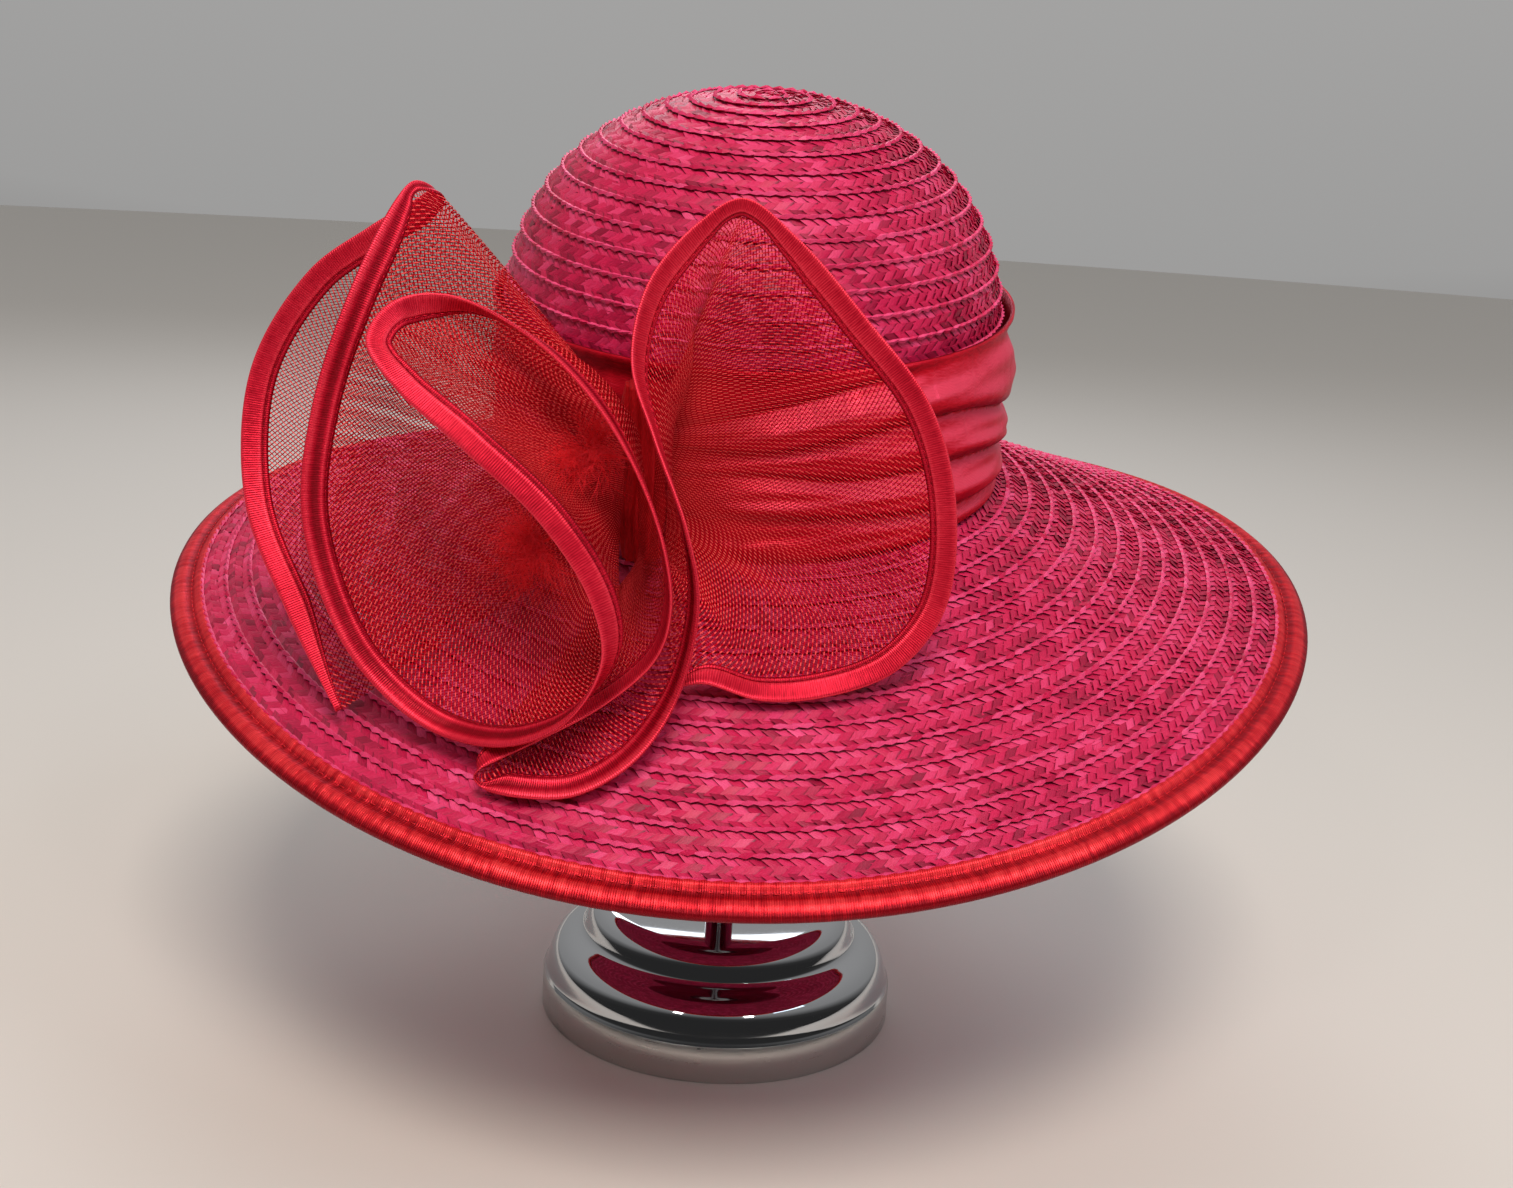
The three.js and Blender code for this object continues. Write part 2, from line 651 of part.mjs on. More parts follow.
// A feather tuft: a head, its stem and tapering locks, joined into one body
function makeTufts(wasm) {
  const solid = (geometry) => {
    const vertProperties = Float32Array.from(geometry.getAttribute("position").array);
    const triVerts = Uint32Array.from(geometry.getIndex().array);
    return new wasm.Manifold(new wasm.Mesh({ numProp: 3, vertProperties, triVerts }));
  };
  const cone = (from, to, radius, tip) => {
    const along = to.clone().sub(from).normalize();
    const side = new THREE.Vector3(0.3, 0.5, 0.8).cross(along).normalize();
    const other = along.clone().cross(side);
    const ring = (centre, size) => Array.from({ length: LOCK_SIDES }, (_, i) => {
      const turn = (i / LOCK_SIDES) * TAU;
      const rim = side.clone().multiplyScalar(Math.cos(turn) * size);
      return centre.clone().add(rim).addScaledVector(other, Math.sin(turn) * size);
    });
    return solid(loft([ring(from, radius), ring(to, tip)]));
  };
  return TUFTS.map(({ name, head, stem, radius, reach, locks }) => {
    const centre = new THREE.Vector3(...head);
    const foot = new THREE.Vector3(...stem);
    const outward = centre.clone().sub(foot).normalize();
    let body = cone(foot, centre, TUFT_STEM.foot, TUFT_STEM.head);
    for (let i = 0; i < locks; i += 1) {
      const turn = i * TUFT_TURN;
      const lean = lerp(LOCK_LEAN.least, LOCK_LEAN.most, i / locks);
      const spread = new THREE.Vector3(Math.cos(turn) * 0.5, Math.sin(turn) * 0.35, Math.sin(turn));
      const way = outward.clone().addScaledVector(spread, lean).normalize();
      const share = lerp(LOCK_REACH.least, LOCK_REACH.most, 0.5 + 0.5 * Math.cos(i * LOCK_REACH.turn));
      const end = centre.clone().addScaledVector(way, reach * share);
      const start = centre.clone().addScaledVector(way, -radius * 0.4);
      body = body.add(cone(start, end, radius * LOCK_THICK, LOCK_TIP));
    }
    const { vertProperties, triVerts } = body.getMesh();
    const geometry = new THREE.BufferGeometry();
    geometry.setAttribute("position", new THREE.Float32BufferAttribute(vertProperties, 3));
    geometry.setIndex(Array.from(triVerts));
    geometry.computeVertexNormals();
    return mesh(`feather_tuft_${name}`, geometry, COLOURS.feather);
  });
}

function makeStand() {
  const foot = [{ r: 0, z: 0 }, { r: FOOT_RADIUS, z: 0 }, { r: FOOT_RADIUS, z: FOOT_WALL }, ...FOOT_PROFILE];
  foot.push({ r: 0, z: FOOT_TOP });
  const capTop = capTopHeight();
  const capRim = capTop - CAP_CROWN;
  const cap = [{ r: 0, z: capRim - CAP_LIP }, { r: CAP_RADIUS - CAP_LIP_TAPER, z: capRim - CAP_LIP }];
  for (let i = 0; i <= CAP_STEPS; i += 1) {
    const a = (i / CAP_STEPS) * (Math.PI / 2);
    cap.push({ r: i === CAP_STEPS ? 0 : CAP_RADIUS * Math.cos(a), z: capRim + CAP_CROWN * Math.sin(a) });
  }
  const postHeight = capRim - CAP_LIP - FOOT_TOP - 2 * GAP;
  const post = new THREE.CylinderGeometry(POST_RADIUS, POST_RADIUS, postHeight, POST_SIDES);
  post.rotateX(Math.PI / 2);
  post.translate(0, 0, (capRim - CAP_LIP + FOOT_TOP) / 2);
  return [
    mesh("stand_base", turned(foot, STAND_SIDES), COLOURS.metal),
    mesh("stand_post", post, COLOURS.metal),
    mesh("stand_cap", turned(cap, STAND_SIDES), COLOURS.metal),
  ];
}

// The height at which the cap's rounded top just clears the inside of the tipped crown
function capTopHeight() {
  const hatTurn = new THREE.Euler(HAT_TIP_FORWARD, HAT_LEAN_SIDE, 0, "YXZ");
  const hat = new THREE.Matrix4().makeRotationFromEuler(hatTurn);
  hat.setPosition(HAT_SEAT);
  const back = hat.clone().invert();
  const inside = (point) => {
    const local = point.clone().applyMatrix4(back);
    const top = CROWN_TOP_Z - STRAW_WALL;
    if (local.z >= top) return false;
    const rise = Math.max((local.z - CROWN_SHOULDER_Z) / (top - CROWN_SHOULDER_Z), 0);
    const scale = Math.pow(1 - Math.pow(rise, DOME_POWER), 1 / DOME_POWER);
    const across = Math.hypot(
      local.x / ((CROWN_HALF_WIDTH - STRAW_WALL) * scale),
      local.y / ((CROWN_HALF_DEPTH - STRAW_WALL) * scale),
    );
    return across < 1;
  };
  const highest = HAT_SEAT.z + CROWN_TOP_Z;
  const fineStep = 0.05;
  for (let top = highest; top > HAT_SEAT.z; top -= fineStep) {
    let clear = true;
    for (let i = 0; i <= 2 * CAP_STEPS && clear; i += 1) {
      const a = (i / (2 * CAP_STEPS)) * (Math.PI / 2);
      for (let j = 0; j < STAND_SIDES && clear; j += 1) {
        const turn = (j / STAND_SIDES) * TAU;
        const r = (CAP_RADIUS + GAP) * Math.cos(a);
        const z = top - CAP_CROWN + (CAP_CROWN + 2 * GAP) * Math.sin(a);
        const rim = new THREE.Vector3(r * Math.cos(turn), r * Math.sin(turn), z);
        clear = inside(rim);
      }
    }
    if (clear) return top;
  }
  throw new Error("the cap does not fit the crown");
}

async function build() {
  const wasm = await Module();
  wasm.setup();
  const hat = new THREE.Group();
  hat.position.copy(HAT_SEAT);
  hat.rotation.set(HAT_TIP_FORWARD, HAT_LEAN_SIDE, 0, "YXZ");
  hat.add(makeCrown(), makeBrim(), makeBrimBinding(), makeHatBand(), makeGather());
  let first = 0;
  STRIP.forEach(({ lobe, rows }, i) => {
    const last = i === STRIP.length - 1 ? strip.last : first + rows.length;
    hat.add(makeNet(lobe, first, last), makeEdge(lobe, first, last));
    first = last;
  });
  hat.add(...makeTufts(wasm));
  const whole = new THREE.Group();
  whole.add(...makeStand(), hat);
  return whole;
}

export default await build();
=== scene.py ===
"""Looks of a wide-brim straw hat on its display stand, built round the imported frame.

The hat's own pieces are written in the hat's frame, where z = 0 is the line between the crown's wall and
the brim and -Y is the wearer's front, and then placed on the stand. Lengths are metres, but the trimming,
the stand, the profiles and the UV maps are in millimetres.
"""

import logging
import math
from collections.abc import Callable
from dataclasses import dataclass, field
from enum import Enum

import bpy
import numpy as np
from mathutils import Matrix, Vector

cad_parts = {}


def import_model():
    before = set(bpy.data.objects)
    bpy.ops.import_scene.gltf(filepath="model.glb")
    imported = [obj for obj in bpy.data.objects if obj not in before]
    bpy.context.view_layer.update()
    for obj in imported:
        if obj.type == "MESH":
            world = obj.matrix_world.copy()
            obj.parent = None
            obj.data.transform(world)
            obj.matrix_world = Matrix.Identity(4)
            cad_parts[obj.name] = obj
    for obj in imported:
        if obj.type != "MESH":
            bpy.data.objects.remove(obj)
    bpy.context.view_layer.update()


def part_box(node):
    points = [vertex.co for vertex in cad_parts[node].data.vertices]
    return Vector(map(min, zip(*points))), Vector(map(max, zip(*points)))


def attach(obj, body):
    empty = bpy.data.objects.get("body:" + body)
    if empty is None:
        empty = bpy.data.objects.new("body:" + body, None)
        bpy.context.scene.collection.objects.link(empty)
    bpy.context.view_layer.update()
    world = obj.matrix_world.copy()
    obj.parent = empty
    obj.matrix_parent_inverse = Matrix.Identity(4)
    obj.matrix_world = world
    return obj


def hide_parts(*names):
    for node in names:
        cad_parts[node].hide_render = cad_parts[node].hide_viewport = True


Pair = tuple[float, float]
Triple = tuple[float, float, float]
Colour = Triple
Table = tuple[tuple[float, ...], ...]
Socket = bpy.types.NodeSocket
Material = bpy.types.Material
Piece = bpy.types.Object

MM = 0.001
TAU = 2 * math.pi
TINY = 1e-9
SEED = 11
# painted shade: the backing shells are nearly black so the creases between rows of plait read as shade
PAINTED_CREASE_SHADE = 0.06
SHELL_U = 0.4
BODY = "root"
LOG = logging.getLogger("straw_hat")


class Slot(Enum):
    """The record's material slots that the pieces take their finish from."""

    STRAW = "straw"
    SATIN = "satin"
    BAND_SATIN = "band_satin"
    NET = "net"
    FEATHER = "feather"
    METAL = "metal"


class Facing(Enum):
    """Which side of a straw sheet a row of plait lies on."""

    OUTSIDE = 1
    UNDERSIDE = -1


def unit(vectors: np.ndarray) -> np.ndarray:
    """Scales each vector to length one.

    Args:
        vectors: Any array whose last axis holds vectors.

    Returns:
        The same array with unit vectors.
    """
    length = np.linalg.norm(vectors, axis=-1, keepdims=True)
    return vectors / np.maximum(length, 1e-12)


def smooth_step(low: float, high: float, value: np.ndarray) -> np.ndarray:
    """Eases from 0 at low to 1 at high.

    Args:
        low: Where the rise starts.
        high: Where it ends.
        value: The values to ease.

    Returns:
        Shares from 0 to 1.
    """
    t = np.clip((value - low) / (high - low), 0, 1)
    return t * t * (3 - 2 * t)


def circle(sides: int) -> np.ndarray:
    """Returns evenly spread angles once round, without the last one again."""
    return np.arange(sides) / sides * TAU


def grid_faces(
    rows: int, columns: int, closed_rows: bool = False, closed_columns: bool = False
) -> np.ndarray:
    """Makes the quads of a grid of points numbered row by row.

    Args:
        rows: How many rows of points there are.
        columns: How many points a row has.
        closed_rows: Whether the last row joins the first.
        closed_columns: Whether each row closes on itself.

    Returns:
        One row of four indices for each quad.
    """
    i = np.arange(rows if closed_rows else rows - 1)[:, None]
    j = np.arange(columns if closed_columns else columns - 1)[None, :]
    after_i, after_j = (i + 1) % rows, (j + 1) % columns
    corners = (i * columns + j, after_i * columns + j, after_i * columns + after_j, i * columns + after_j)
    return np.stack([np.broadcast_to(c, (i.size, j.size)).ravel() for c in corners], axis=1)


@dataclass
class Shell:
    """A mesh in the making: points, faces, and a UV pair for each point."""

    points: np.ndarray
    faces: list
    uv: np.ndarray | None = None

    def flipped_outwards(self) -> "Shell":
        """Turns every face round if the closed shell's volume comes out negative."""
        total = 0.0
        for face in self.faces:
            corner = self.points[list(face)]
            for k in range(1, len(face) - 1):
                total += float(np.dot(corner[0], np.cross(corner[k], corner[k + 1])))
        if total < 0:
            self.faces = [tuple(reversed(face)) for face in self.faces]
        return self

    def build(self, name: str, smooth: bool = True) -> Piece:
        """Makes the object.

        Args:
            name: The piece's name.
            smooth: Whether its faces are shaded smooth.

        Returns:
            The new object, at the origin.
        """
        mesh = bpy.data.meshes.new(name)
        mesh.from_pydata(self.points.tolist(), [], [tuple(int(i) for i in face) for face in self.faces])
        if self.uv is not None:
            layer = mesh.uv_layers.new(name="UVMap")
            index = np.zeros(len(mesh.loops), np.int32)
            mesh.loops.foreach_get("vertex_index", index)
            pairs = self.uv.reshape(-1, 2)[index]
            layer.data.foreach_set("uv", pairs.astype(np.float32).ravel())
        mesh.polygons.foreach_set("use_smooth", [smooth] * len(mesh.polygons))
        mesh.update()
        made = bpy.data.objects.new(name, mesh)
        bpy.context.scene.collection.objects.link(made)
        return made


def ring_loft(rings: np.ndarray, uv: np.ndarray) -> Shell:
    """Joins closed outlines one after another into a ring that closes on itself, such as a brim.

    Args:
        rings: Sections by points by 3, each section a closed outline.
        uv: Sections by points by 2.

    Returns:
        The closed shell.
    """
    sections, count, _ = rings.shape
    faces = grid_faces(sections, count, closed_rows=True, closed_columns=True)
    return Shell(rings.reshape(-1, 3), faces.tolist(), uv).flipped_outwards()


def tube_loft(rings: np.ndarray, uv: np.ndarray) -> Shell:
    """Joins closed outlines into a tube with both ends capped.

    Args:
        rings: Sections by points by 3, each section a closed outline.
        uv: Sections by points by 2.

    Returns:
        The closed shell.
    """
    sections, count, _ = rings.shape
    faces = grid_faces(sections, count, closed_columns=True).tolist()
    faces.append(list(range(count)))
    faces.append([(sections - 1) * count + i for i in reversed(range(count))])
    return Shell(rings.reshape(-1, 3), faces, uv).flipped_outwards()


def pole_loft(rings: np.ndarray, poles: np.ndarray, uv: np.ndarray | None = None) -> Shell:
    """Joins closed outlines one after another, with a point to close each end.

    Args:
        rings: Sections by points by 3, each section a closed outline.
        poles: The point before the first section and the point after the last.
        uv: A pair for each point, the poles last, or None.

    Returns:
        The closed shell.
    """
    sections, sides, _ = rings.shape
    faces = grid_faces(sections, sides, closed_columns=True).tolist()
    first, base = sections * sides, (sections - 1) * sides
    for i in range(sides):
        k = (i + 1) % sides
        faces.append([first, i, k])
        faces.append([first + 1, base + k, base + i])
    return Shell(np.concatenate([rings.reshape(-1, 3), poles]), faces, uv).flipped_outwards()


def lathe(profile: list[Pair], sides: int) -> Shell:
    """Turns a profile round the Z axis.

    Args:
        profile: Radius and height of each point, from the axis to the axis.
        sides: How many sides the round has.

    Returns:
        The closed shell.
    """
    turn = circle(sides)
    radius, height = np.array(profile).T[:, :, None]
    rings = np.stack(np.broadcast_arrays(radius * np.cos(turn), radius * np.sin(turn), height), axis=-1)
    return pole_loft(rings[1:-1], rings[[0, -1], 0])


def uv_grid(u: np.ndarray | float, v: np.ndarray | float) -> np.ndarray:
    """Pairs u and v up over a grid of points."""
    return np.stack(np.broadcast_arrays(u, v), axis=-1)


class Nodes:
    """A node tree in the making, with short calls."""

    def __init__(self, tree: bpy.types.NodeTree) -> None:
        """Keeps the tree that the calls add to."""
        self.tree = tree

    def node(self, kind: str, **settings: object) -> bpy.types.Node:
        """Adds a node and sets its own properties."""
        made = self.tree.nodes.new(kind)
        for key, value in settings.items():
            setattr(made, key, value)
        return made

    def feed(self, socket: Socket, value: object) -> None:
        """Links a socket into another, or sets a plain value on it."""
        if isinstance(value, Socket):
            self.tree.links.new(value, socket)
        else:
            socket.default_value = value

    def add(self, kind: str, values: dict, **settings: object) -> Socket:
        """Adds a node, feeds its inputs, and returns its first output."""
        made = self.node(kind, **settings)
        for key, value in values.items():
            self.feed(made.inputs[key], value)
        return made.outputs[0]

    def math(self, operation: str, *values: object, clamp: bool = False) -> Socket:
        """Adds a Math node and returns its result."""
        return self.add("ShaderNodeMath", dict(enumerate(values)), operation=operation, use_clamp=clamp)

    def total(self, *parts: tuple[object, float], clamp: bool = False) -> Socket:
        """Adds up values, each times its own weight.

        Args:
            parts: Two or more pairs of a value and its weight.
            clamp: Whether the sum is kept between 0 and 1.

        Returns:
            The sum.
        """
        result = self.math("MULTIPLY", *parts[0])
        for value, weight in parts[1:-1]:
            result = self.math("MULTIPLY_ADD", value, weight, result)
        value, weight = parts[-1]
        return self.math("MULTIPLY_ADD", value, weight, result, clamp=clamp)

    def ramp(self, value: object, stops: list[tuple[float, Colour]]) -> Socket:
        """Adds a colour ramp.

        Args:
            value: What drives it.
            stops: Position and colour of each stop, from 0 to 1.

        Returns:
            The colour.
        """
        made = self.node("ShaderNodeValToRGB")
        elements = made.color_ramp.elements
        while len(elements) < len(stops):
            elements.new(0.5)
        for element, (position, colour) in zip(elements, stops):
            element.position = position
            element.color = (*colour, 1.0)
        self.feed(made.inputs[0], value)
        return made.outputs[0]


class Shading(Nodes):
    """A material and its node tree, with short calls for the nodes that the finishes use."""

    def __init__(self, name: str) -> None:
        """Starts a material with one Principled shader.

        Args:
            name: The material's name.
        """
        self.material = bpy.data.materials.new(name)
        self.material.use_nodes = True
        super().__init__(self.material.node_tree)
        self.shader = self.tree.nodes["Principled BSDF"]

    def uv(self) -> tuple[Socket, Socket]:
        """Returns the two halves of the piece's own UV map."""
        split = self.node("ShaderNodeSeparateXYZ")
        self.feed(split.inputs[0], self.node("ShaderNodeUVMap", uv_map="UVMap").outputs[0])
        return split.outputs[0], split.outputs[1]

    def place(self) -> Socket:
        """Returns the Object coordinates."""
        return self.node("ShaderNodeTexCoord").outputs["Object"]

    def tone(self) -> Socket:
        """Returns the piece's tone attribute."""
        return self.node("ShaderNodeAttribute", attribute_name="tone").outputs["Fac"]

    def noise(self, vector: object, scale: float, detail: float = 2.0, rough: float = 0.5) -> Socket:
        """Adds a noise texture and returns its grey value."""
        values = {"Vector": vector, "Scale": scale, "Detail": detail, "Roughness": rough}
        return self.add("ShaderNodeTexNoise", values)

    def streaks(self, cells: Pair, detail: float) -> Socket:
        """Returns noise on the UV map, with its own number of cells to a unit of u and to a unit of v."""
        scaled = [self.math("MULTIPLY", half, count) for half, count in zip(self.uv(), cells)]
        return self.noise(self.add("ShaderNodeCombineXYZ", dict(enumerate(scaled))), 1.0, detail)

    def stretched(self, scale: Triple, detail: float, rough: float = 0.5) -> Socket:
        """Returns noise on the Object coordinates, with its own number of cells along each axis."""
        mapped = self.add("ShaderNodeMapping", {"Vector": self.place(), "Scale": scale})
        return self.noise(mapped, 1.0, detail, rough)

    def centred(self, value: object) -> Socket:
        """Takes a half off, so that a noise or a grey swings round zero."""
        return self.math("SUBTRACT", value, 0.5)

    def mix(self, share: object, first: object, second: object, blend: str = "MIX") -> Socket:
        """Mixes two colours."""
        made = self.node("ShaderNodeMix", data_type="RGBA", blend_type=blend)
        self.feed(made.inputs[0], share)
        for socket, value in ((made.inputs[6], first), (made.inputs[7], second)):
            self.feed(socket, (*value, 1.0) if isinstance(value, tuple) else value)
        return made.outputs[2]

    def bump(self, height: object, strength: float, distance: float) -> None:
        """Adds a bump to the shader's normal."""
        values = {"Strength": strength, "Distance": distance, "Height": height}
        self.feed(self.shader.inputs["Normal"], self.add("ShaderNodeBump", values))

    def set(self, **values: object) -> None:
        """Sets or links the shader's inputs, named with underscores for spaces."""
        for key, value in values.items():
            name = key.replace("_", " ").title().replace("Ior", "IOR")
            if isinstance(value, tuple):
                value = (*value, 1.0)
            self.feed(self.shader.inputs[name], value)


def grey(value: float) -> Colour:
    """Returns a grey as a colour."""
    return (value, value, value)


@dataclass(frozen=True)
class StrawFinish:
    """Dyed straw plait with a thin lacquer: each straw has its own tone, a fine grain and painted shade at
    its low edge.
    """

    name: str = "dyed_straw"
    shade: Colour = (0.25, 0.003, 0.030)
    body: Colour = (0.58, 0.011, 0.078)
    bright: Colour = (0.86, 0.09, 0.26)
    body_at: float = 0.42
    roughness: float = 0.46
    grain_cells: Pair = (7.0, 0.9)
    grain_share: float = 0.5
    patch_cells: float = 42.0
    patch_share: float = 0.55
    # painted shade towards each straw's low edge: how dark it gets, where it starts and where it is full
    painted_edge_shade: float = 0.34
    painted_shade_from: float = 0.72
    painted_shade_full: float = 0.95
    roundness: float = 2.4
    grain_height: float = 0.6
    relief: float = 0.0005

    def material(self) -> Material:
        """Builds the material. It reads the tone attribute and each straw's own UV, u across the straw."""
        look = Shading(self.name)
        u, _ = look.uv()
        grain = look.streaks(self.grain_cells, 3.0)
        patch = look.noise(look.place(), self.patch_cells, 3.0)
        tone = look.total(
            (look.tone(), 1.0),
            (look.centred(grain), self.grain_share),
            (look.centred(patch), self.patch_share),
            clamp=True,
        )
        dyed = look.ramp(tone, [(0.0, self.shade), (self.body_at, self.body), (1.0, self.bright)])
        # painted shade: each straw darkens towards its low edge, where it dips under the next straw
        low = look.ramp(u, [(self.painted_shade_from, grey(1.0)), (self.painted_shade_full, grey(self.painted_edge_shade))])
        look.set(
            base_color=look.mix(1.0, dyed, low, "MULTIPLY"),
            roughness=self.roughness,
            coat_weight=0.08,
            coat_roughness=0.3,
            specular_ior_level=0.32,
            specular_tint=(1.0, 0.66, 0.84),
        )
        rounded = look.math("MULTIPLY", u, look.math("SUBTRACT", 1.0, u))
        height = look.total((rounded, self.roundness), (grain, self.grain_height))
        look.bump(height, strength=0.6, distance=self.relief)
        return look.material


@dataclass(frozen=True)
class SatinFinish:
    """Satin: fine ribs across the length, puckers, a soft sheen, and painted highlights and shade that follow
    its ridges.
    """

    name: str
    deep: Colour
    body: Colour
    bright: Colour
    width: float = 8.0
    # painted highlight and shade across the tape's width: share of the width and the tone there
    across: Table = ((0.0, 0.5), (1.0, 0.5))
    rib: float = 0.75
    rib_tone: float = 0.1
    rib_height: float = 0.35
    slub_cells: Pair = (1.5, 0.25)
    slub_tone: float = 0.4
    slub_height: float = 0.6
    fold_cells: Pair = (0.42, 0.12)
    fold_height: float = 6.0
    cloud_cells: float = 24.0
    cloud_tone: float = 0.55
    painted_ridge_light: float = 0.8
    pucker: float = 0.0
    painted_relief_light: float = 0.0
    roughness: float = 0.36
    gloss: float = 0.45
    stops: Triple = (0.15, 0.5, 0.85)
    depth: float = 0.00022

    def material(self) -> Material:
        """Builds the material. UV is in millimetres, u along the tape. The tone attribute adds painted relief
        light and shade.
        """
        look = Shading(self.name)
        u, v = look.uv()
        ribs = look.math("SINE", look.math("MULTIPLY", u, TAU / self.rib))
        slub = look.streaks(self.slub_cells, 2.0)
        cloud = look.noise(look.place(), self.cloud_cells, 2.0)
        folds = look.streaks(self.fold_cells, 1.0)
        # painted highlights on the ridges and the outer fold, painted shade in the grooves
        painted_ridge = look.ramp(look.math("DIVIDE", v, self.width), [(at, grey(tone)) for at, tone in self.across])
        tone = look.total(
            (slub, self.slub_tone),
            (cloud, self.cloud_tone),
            (ribs, self.rib_tone),
            # painted highlight and shade on the puckers: the colour follows the same fold noise as the bump
            (look.centred(folds), self.pucker),
            # painted light and shade from the relief carried in the tone attribute
            (look.tone(), self.painted_relief_light),
            (look.centred(painted_ridge), self.painted_ridge_light),
            clamp=True,
        )
        look.set(
            base_color=look.ramp(tone, list(zip(self.stops, (self.deep, self.body, self.bright)))),
            roughness=self.roughness,
            metallic=self.gloss,
            specular_ior_level=0.3,
            specular_tint=(1.0, 0.45, 0.6),
        )
        height = look.total(
            (ribs, self.rib_height), (slub, self.slub_height), (folds, self.fold_height * self.pucker)
        )
        look.bump(height, strength=0.5, distance=self.depth)
        return look.material


TRIM_SATIN = SatinFinish(
    "trim_satin",
    deep=(0.20, 0.001, 0.006),
    body=(0.52, 0.005, 0.024),
    bright=(0.82, 0.038, 0.072),
    width=16.8,
    across=(
        # painted highlight and shade across the tape: the front face from its outer fold to its inner hem,
        # then the back face the other way
        *((0.0, 1.2), (0.03, 0.7), (0.12, 0.5), (0.3, 0.62), (0.36, 0.9), (0.395, 0.0), (0.44, 0.55)),
        *((0.5, 0.2), (0.56, 0.2), (0.63, 0.85), (0.71, 0.15), (0.79, 0.2), (0.9, 0.85), (0.985, 0.7)),
        (1.0, 1.2),
    ),
)
BRIM_SATIN = SatinFinish(
    "brim_satin",
    deep=(0.22, 0.002, 0.006),
    body=(0.54, 0.009, 0.017),
    bright=(0.84, 0.045, 0.052),
    width=12.6,
    across=(
        # painted highlight and shade across the tape, from the fold at the brim's edge over the stitched
        # groove to the hem
        *((0.0, 0.0), (0.13, 0.2), (0.22, 0.75), (0.45, 0.7)),
        *((0.54, 0.3), (0.72, 0.25), (0.80, 0.8), (1.0, 0.65)),
    ),
    pucker=0.7,
)
PLEATED_SATIN = SatinFinish(
    "band_satin",
    deep=(0.22, 0.001, 0.006),
    body=(0.72, 0.008, 0.028),
    bright=(1.0, 0.075, 0.15),
    rib=0.5,
    rib_tone=0.04,
    gloss=0.5,
    # the band's tone attribute carries painted light and shade of its pleats
    painted_relief_light=0.8,
)


@dataclass(frozen=True)
class NetFinish:
    """Open woven net on the bias: two families of threads with clear holes between them.

    Lengths are millimetres. The threads are packed closer where the tone attribute is above the loose value.
    The first family is painted lighter than the second, as if lit, and has short painted glints, bright
    dashes where it crosses over the second.
    """

    name: str = "woven_net"
    cell: float = 1.15
    thread: float = 0.29
    loose: float = 1.5
    packing: float = 0.8
    diagonal: float = 0.7071
    wander: float = 0.9
    wander_cells: float = 60.0
    repeat: float = 4.2
    stagger: float = 0.382
    dash: float = 0.42
    # painted glint and painted lit colour of the first family; plain is the second family's colour
    painted_glint: Colour = (0.88, 0.085, 0.085)
    painted_lit: Colour = (0.50, 0.004, 0.014)
    plain: Colour = (0.25, 0.001, 0.006)

    def threads(self, look: Shading, along: object, half: object) -> Socket:
        """Returns 1 on a thread and 0 in a hole, for one family of threads of a given half width."""
        phase = look.math("FRACT", look.math("DIVIDE", along, self.cell))
        away = look.math("ABSOLUTE", look.centred(phase))
        return look.math("LESS_THAN", away, half)

    def material(self) -> Material:
        """Builds the material. UV is in millimetres along and across the strip."""
        look = Shading(self.name)
        u, v = look.uv()
        stray = (look.centred(look.noise(look.place(), self.wander_cells, 1.0)), self.wander)
        first = look.total((u, self.diagonal), (v, self.diagonal), stray)
        second = look.total((u, self.diagonal), (v, -self.diagonal), stray)
        packed = look.math("MAXIMUM", look.math("SUBTRACT", look.tone(), self.loose), 0.0)
        half = look.math("MULTIPLY_ADD", packed, self.packing * self.thread / 2, self.thread / 2)
        warp, weft = self.threads(look, first, half), self.threads(look, second, half)
        # painted glints: short bright dashes along the first family where it crosses over the second
        number = look.math("FLOOR", look.math("DIVIDE", first, self.cell))
        along = look.total((second, 1 / self.repeat), (number, self.stagger))
        over = look.math("MULTIPLY", look.math("LESS_THAN", look.math("FRACT", along), self.dash), warp)
        # colour: the second family plain, the first painted lighter as if lit, with painted glints
        look.set(
            base_color=look.mix(over, look.mix(warp, self.plain, self.painted_lit), self.painted_glint),
            alpha=look.math("MAXIMUM", warp, weft),
            roughness=0.5,
            specular_ior_level=0.0,
        )
        return look.material


@dataclass(frozen=True)
class GatherFinish:
    """Bunched net, too dense to see through."""

    name: str = "bunched_net"
    dark: Colour = (0.34, 0.002, 0.005)
    bright: Colour = (0.58, 0.008, 0.014)
    stops: Pair = (0.3, 0.75)
    thread_cells: Pair = (2.4, 0.5)

    def material(self) -> Material:
        """Builds the material. UV is in millimetres round and up the bunch."""
        look = Shading(self.name)
        fine = look.streaks(self.thread_cells, 3.0)
        colour = look.ramp(fine, list(zip(self.stops, (self.dark, self.bright))))
        look.set(base_color=colour, roughness=0.6, specular_ior_level=0.25, specular_tint=(1.0, 0.4, 0.4))
        look.bump(fine, strength=0.5, distance=0.0004)
        return look.material


